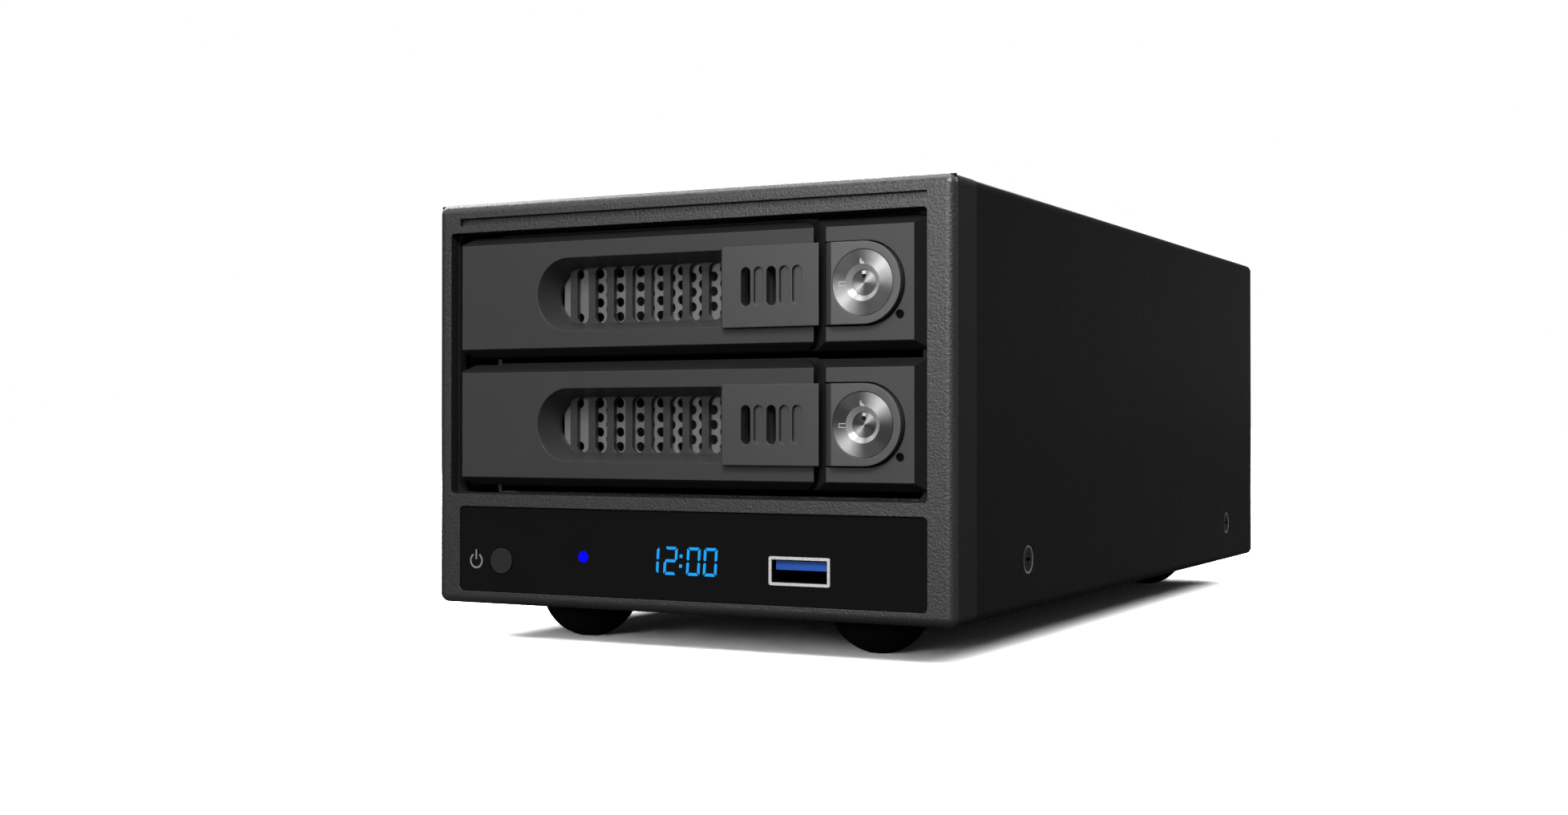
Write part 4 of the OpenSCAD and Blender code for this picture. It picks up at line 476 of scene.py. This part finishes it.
# Ends of the bars, in bar widths: x from a flat bar's end or from the digit's side, and z from the
# digit's top, the digit's middle, or the end of an upright bar
TOP_END = ((-0.25, 0), (0, -0.2), (-0.55, -1))
MIDDLE_END = ((-0.3, 0.5), (0.1, 0), (-0.3, -0.5))
UPRIGHT_LOW = ((-1, 0.35), (-0.55, 0), (0, 0.45))
UPRIGHT_HIGH = ((0, -0.3), (-0.2, 0), (-1, -0.75))
FLAT_SHORT, UPRIGHT_SHORT = 0.35 * BAR_W, 0.2 * BAR_W      # how far the bars stop short of a corner
SEGMENTS = {"1": "bc", "2": "abged", "0": "abcdef"}
CLOCK = (("1", -8.45), ("2", -3.95), ("0", 1.65), ("0", 5.75))       # digits and their middles
COLON_X, COLON_Z, DOT = -1.4, 1.05, 0.7
CLOCK_MID = 0.3                # x of the middle of what shows of the clock


def end_at(x, z, end):
    """The end of a bar, about a place."""
    return [(x + a * BAR_W, z + b * BAR_W) for a, b in end]


def segment(which):
    """Closed outline of one bar of a digit, about the digit's own middle. Bars d, c, e and f are a and
    b mirrored."""
    side, top = DIGIT_W / 2, DIGIT_H / 2
    if which in "adg":
        height, end = (0, MIDDLE_END) if which == "g" else (top, TOP_END)
        right = end_at(side - SPLIT - FLAT_SHORT, height, end)
        shape = right + [(-x, z) for x, z in reversed(right)]
    else:
        shape = end_at(side, SPLIT, UPRIGHT_LOW)
        shape += end_at(side, top - SPLIT - UPRIGHT_SHORT, UPRIGHT_HIGH)
    over = -1 if which in "ef" else 1
    up = -1 if which in "cde" else 1
    return [(over * x, up * z) for x, z in shape]


clock = [moved(segment(which), middle, 0) for digit, middle in CLOCK for which in SEGMENTS[digit]]
clock += [moved(bar(-DOT / 2, DOT / 2, -DOT / 2, DOT / 2), COLON_X, z) for z in (-COLON_Z, COLON_Z)]
plates("display_digits", [[(x + z * SLANT - CLOCK_MID, z) for x, z in shape] for shape in clock],
       ray_place(POINTS["display_digits"], [panel]), "digits", "enclosure")

# Notches on the locks, in mm about the disc's middle: a pointed notch at the top and a small frame that is
# open at the right, light as painted highlights of their bevelled edges, and a painted glint on the plug
NOTCH = [(-0.5, 3.8), (0.45, 3.75), (0.3, 4.15), (-0.1, 4.3), (-0.45, 5.0), (-0.6, 4.2)]
FRAME_LEFT, FRAME_RIGHT, FRAME_LOW, FRAME_HIGH, FRAME_W = -5.27, -3.75, -0.62, 0.32, 0.17
NOTCH_HIGHLIGHTS = [NOTCH, bar(FRAME_LEFT + FRAME_W, FRAME_RIGHT, FRAME_HIGH - FRAME_W, FRAME_HIGH),
              bar(FRAME_LEFT + FRAME_W, FRAME_RIGHT, FRAME_LOW, FRAME_LOW + FRAME_W),
              bar(FRAME_LEFT, FRAME_LEFT + FRAME_W, FRAME_LOW, FRAME_HIGH)]
KEY_GLINT = bar(-0.4, 0.4, 1.75, 2.4)
for level in LEVELS:
    middle = middle_of(f"{level}_lock_disc")
    middle.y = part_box(f"{level}_lock_disc")[0].y
    plates(f"{level}_lock_notch_highlights", NOTCH_HIGHLIGHTS, middle, "notch", f"{level}_lock_button")
    middle.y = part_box(f"{level}_key_plug")[0].y
    plates(f"{level}_key_glint", [KEY_GLINT], middle, "bright", f"{level}_key_plug")


# Tongues and contacts in the rear sockets, from how such sockets are made
def in_socket(name, node, shapes, set_back, length, look):
    """Plates of some length in a rear socket, set back from its mouth, about its middle, in mm."""
    at = middle_of(node)
    at.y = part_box(node)[1].y - (set_back + length / 2) * MM
    plates(name, shapes, at, look, "enclosure", thick=length)


WIRES, WIRE_PITCH, WIRE_W, WIRE_Z, WIRE_CUT = 8, 1.02, 0.44, (-3.9, -3.3), 0.1
wire = slab(-WIRE_W / 2, WIRE_W / 2, *WIRE_Z, WIRE_CUT)
wires = [moved(wire, (i - (WIRES - 1) / 2) * WIRE_PITCH, 0) for i in range(WIRES)]
in_socket("rear_usb_tongue", "rear_usb_socket", [slab(-5.5, 5.5, 0.1, 1.9)], set_back=1.2, length=8,
          look="tongue")
in_socket("video_tongue", "video_socket", [slab(-5.4, 5.4, -0.8, 0.7)], set_back=1.0, length=7,
          look="dark")
in_socket("lan_contacts", "lan_socket", wires, set_back=1.5, length=6, look="brass")
in_socket("lan_floor", "lan_socket", [slab(-5.0, 5.0, -4.5, -3.92)], set_back=1.2, length=8,
          look="dark")

# Painted shade: a black band along the top of the long slot over the trays, on the slot's floor
SLOT_DEPTH, SLOT_BAND, SHADE_H = 1.3 * MM, 6 * MM, 0.75
bezel_low, bezel_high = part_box("front_bezel")
floor_y = bezel_low.y + SLOT_DEPTH
low, high = span([v for v in places("front_bezel")
                  if abs(v.y - floor_y) < NEAR and v.z > bezel_high.z - SLOT_BAND])
half_w = (high.x - low.x) / 2 / MM
plates("slot_shade", [bar(-half_w, half_w, -SHADE_H, 0)], Vector(((low.x + high.x) / 2, floor_y, high.z)),
       "dark_lamp_and_shade", "enclosure")

# Painted highlights: bright rims of the countersunk screws in the sides
RIM_W, RIM_STEPS = 0.4, 40
heads = places("cover_screws")
for side, way in SIDES:
    face_x = max(v.x * way for v in heads)
    for end, ahead in (("front", -1), ("rear", 1)):
        low, high = span([v for v in heads if v.x * way > face_x - NEAR and v.y * ahead > 0])
        at = (low + high) / 2
        at.x = face_x * way
        radius = (high.z - low.z) / 2 / MM
        plates(f"{side}_{end}_screw_rim_highlight", arc(radius - RIM_W / 2, RIM_W, 0, 360, RIM_STEPS), at,
               "rim", "enclosure", turn=90 * way)

# Painted shade in the crosses of the fan guard's screws: dark crosses on their heads
CROSS_L, CROSS_W, CROSS_CUT = 3.2, 0.7, 0.15
CROSS = [slab(-a / 2, a / 2, -b / 2, b / 2, CROSS_CUT)
         for a, b in ((CROSS_L, CROSS_W), (CROSS_W, CROSS_L))]
heads = places("fan_screws")
low, high = span(heads)
fan_z = (low.z + high.z) / 2
rear_y = high.y
for side, way in SIDES:
    for level, up in (("upper", 1), ("lower", -1)):
        low, high = span([v for v in heads
                          if v.y > rear_y - NEAR and v.x * way > 0 and (v.z - fan_z) * up > 0])
        at = (low + high) / 2
        at.y = rear_y
        plates(f"{level}_{side}_fan_screw_cross_shade", CROSS, at, "dark_lamp_and_shade", "enclosure",
               turn=180)

# ---- stage ------------------------------------------------------------------------
FLOOR_REACH = 30.0
FLOOR_GREY = 0.06              # what the floor sends back to the object
FLOOR_WHITE = 3.0              # what the camera sees of it: white, with the shadow,
FLOOR_FAR = 18.0               # and whiter further off, so that no horizon shows
FLOOR_FADE = (0.4, 1.5)        # metres from the object over which it whitens
FLOOR_CORNERS = [(x * FLOOR_REACH, y * FLOOR_REACH, 0)
                 for x, y in ((-1, -1), (1, -1), (1, 1), (-1, 1))]
floor_mesh = bpy.data.meshes.new("floor")
floor_mesh.from_pydata(FLOOR_CORNERS, [], [(0, 1, 2, 3)])
floor = bpy.data.objects.new("floor", floor_mesh)
scene.collection.objects.link(floor)
floor_mat = bpy.data.materials.new("floor")
floor_mat.use_nodes = True
floor_mat.node_tree.nodes.clear()
floor.data.materials.append(floor_mat)


def show_either(tree, output, kind, share, first, second):
    """Show two shaders of a kind at a new output, the first where the share is 0. Each is given by
    its inputs."""
    shaders = [feed(tree, tree.nodes.new(kind), inputs).outputs[0] for inputs in (first, second)]
    mix = feed(tree, tree.nodes.new("ShaderNodeMixShader"), dict(enumerate([share, *shaders])))
    feed(tree, tree.nodes.new(output), {"Surface": mix.outputs[0]})


tree = floor_mat.node_tree
rays = tree.nodes.new("ShaderNodeLightPath")
far_off = length_of(tree, object_place(tree))
show_either(tree, "ShaderNodeOutputMaterial", "ShaderNodeBsdfDiffuse", rays.outputs["Is Camera Ray"],
            {"Color": (FLOOR_GREY, FLOOR_GREY, FLOOR_GREY, 1)},
            {"Color": ramp(tree, far_off, FLOOR_WHITE, FLOOR_FAR, *FLOOR_FADE)})

# The world is a dim room, but the camera sees it white, and so does gloss that looks straight back
ROOM, BACKDROP = 0.08, 1.0
WHITE = (1, 1, 1, 1)
BACKDROP_FROM = 0.984          # the gloss's way along Y, where the backdrop begins to show
world = bpy.data.worlds.new("world")
scene.world = world
world.use_nodes = True
world.node_tree.nodes.clear()
tree = world.node_tree
rays = tree.nodes.new("ShaderNodeLightPath")
aim = tree.nodes.new("ShaderNodeTexCoord").outputs["Generated"]
back = ramp(tree, along(tree, aim, "Y"), 0.0, 1.0, BACKDROP_FROM, 1.0)
gloss = number(tree, "MULTIPLY", back, rays.outputs["Is Glossy Ray"])
seen = number(tree, "MAXIMUM", rays.outputs["Is Camera Ray"], gloss)
show_either(tree, "ShaderNodeOutputWorld", "ShaderNodeBackground", seen,
            {"Color": WHITE, "Strength": ROOM}, {"Color": WHITE, "Strength": BACKDROP})

# Square soft lights: name, place, what they are turned to, size in metres, watts
LIGHTS = (
    ("key", (0.20, -0.62, 0.50), (0.0, -0.12, 0.05), 0.24, 4.4),
    ("fill", (-0.70, -0.56, 0.55), (0.0, -0.12, 0.05), 0.30, 0.9),
    ("sheen", (-0.17, -1.07, 0.32), (0.03, -0.12, 0.06), 0.30, 2.4),
    ("edge", (0.10, -1.15, 0.24), (0.05, -0.12, 0.06), 0.2, 0.6),
    ("left", (-0.80, 0.25, 0.75), (0.0, 0.02, 0.05), 0.5, 8.0),
    ("back", (-0.35, 0.95, 0.65), (0.0, 0.1, 0.05), 0.5, 8.0),
    ("right", (0.70, 0.30, 0.75), (0.05, 0.02, 0.05), 0.5, 4.5),
    ("top", (-0.1, -0.1, 0.9), (0.0, 0.0, 0.05), 0.6, 5.0),
)
for name, at, aim, size, watts in LIGHTS:
    data = bpy.data.lights.new(name, "AREA")
    data.shape = "SQUARE"
    data.size = size
    data.energy = watts
    lamp = bpy.data.objects.new(name, data)
    lamp.location = at
    lamp.rotation_euler = (Vector(aim) - Vector(at)).to_track_quat("-Z", "Y").to_euler()
    scene.collection.objects.link(lamp)

scene.view_settings.view_transform = "Standard"

# ---- what the picture shows of the points ----------------------------------------------
bpy.context.view_layer.update()


def front_middle(name):
    """Middle, in the picture, of a node's front."""
    middle = middle_of(name)
    middle.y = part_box(name)[0].y
    return in_picture(middle)


for point, node in (("upper_disc", "upper_lock_disc"), ("lower_disc", "lower_lock_disc"),
                    ("usb_rim", "usb_shell")):
    front_middle(node)
for name in ("upper_tray_lamp", "lower_tray_lamp", "upper_grip_plate", "power_button", "power_lamp"):
    front_middle(name)
for name in ("power_symbol", "display_digits"):
    piece = bpy.data.objects[name]
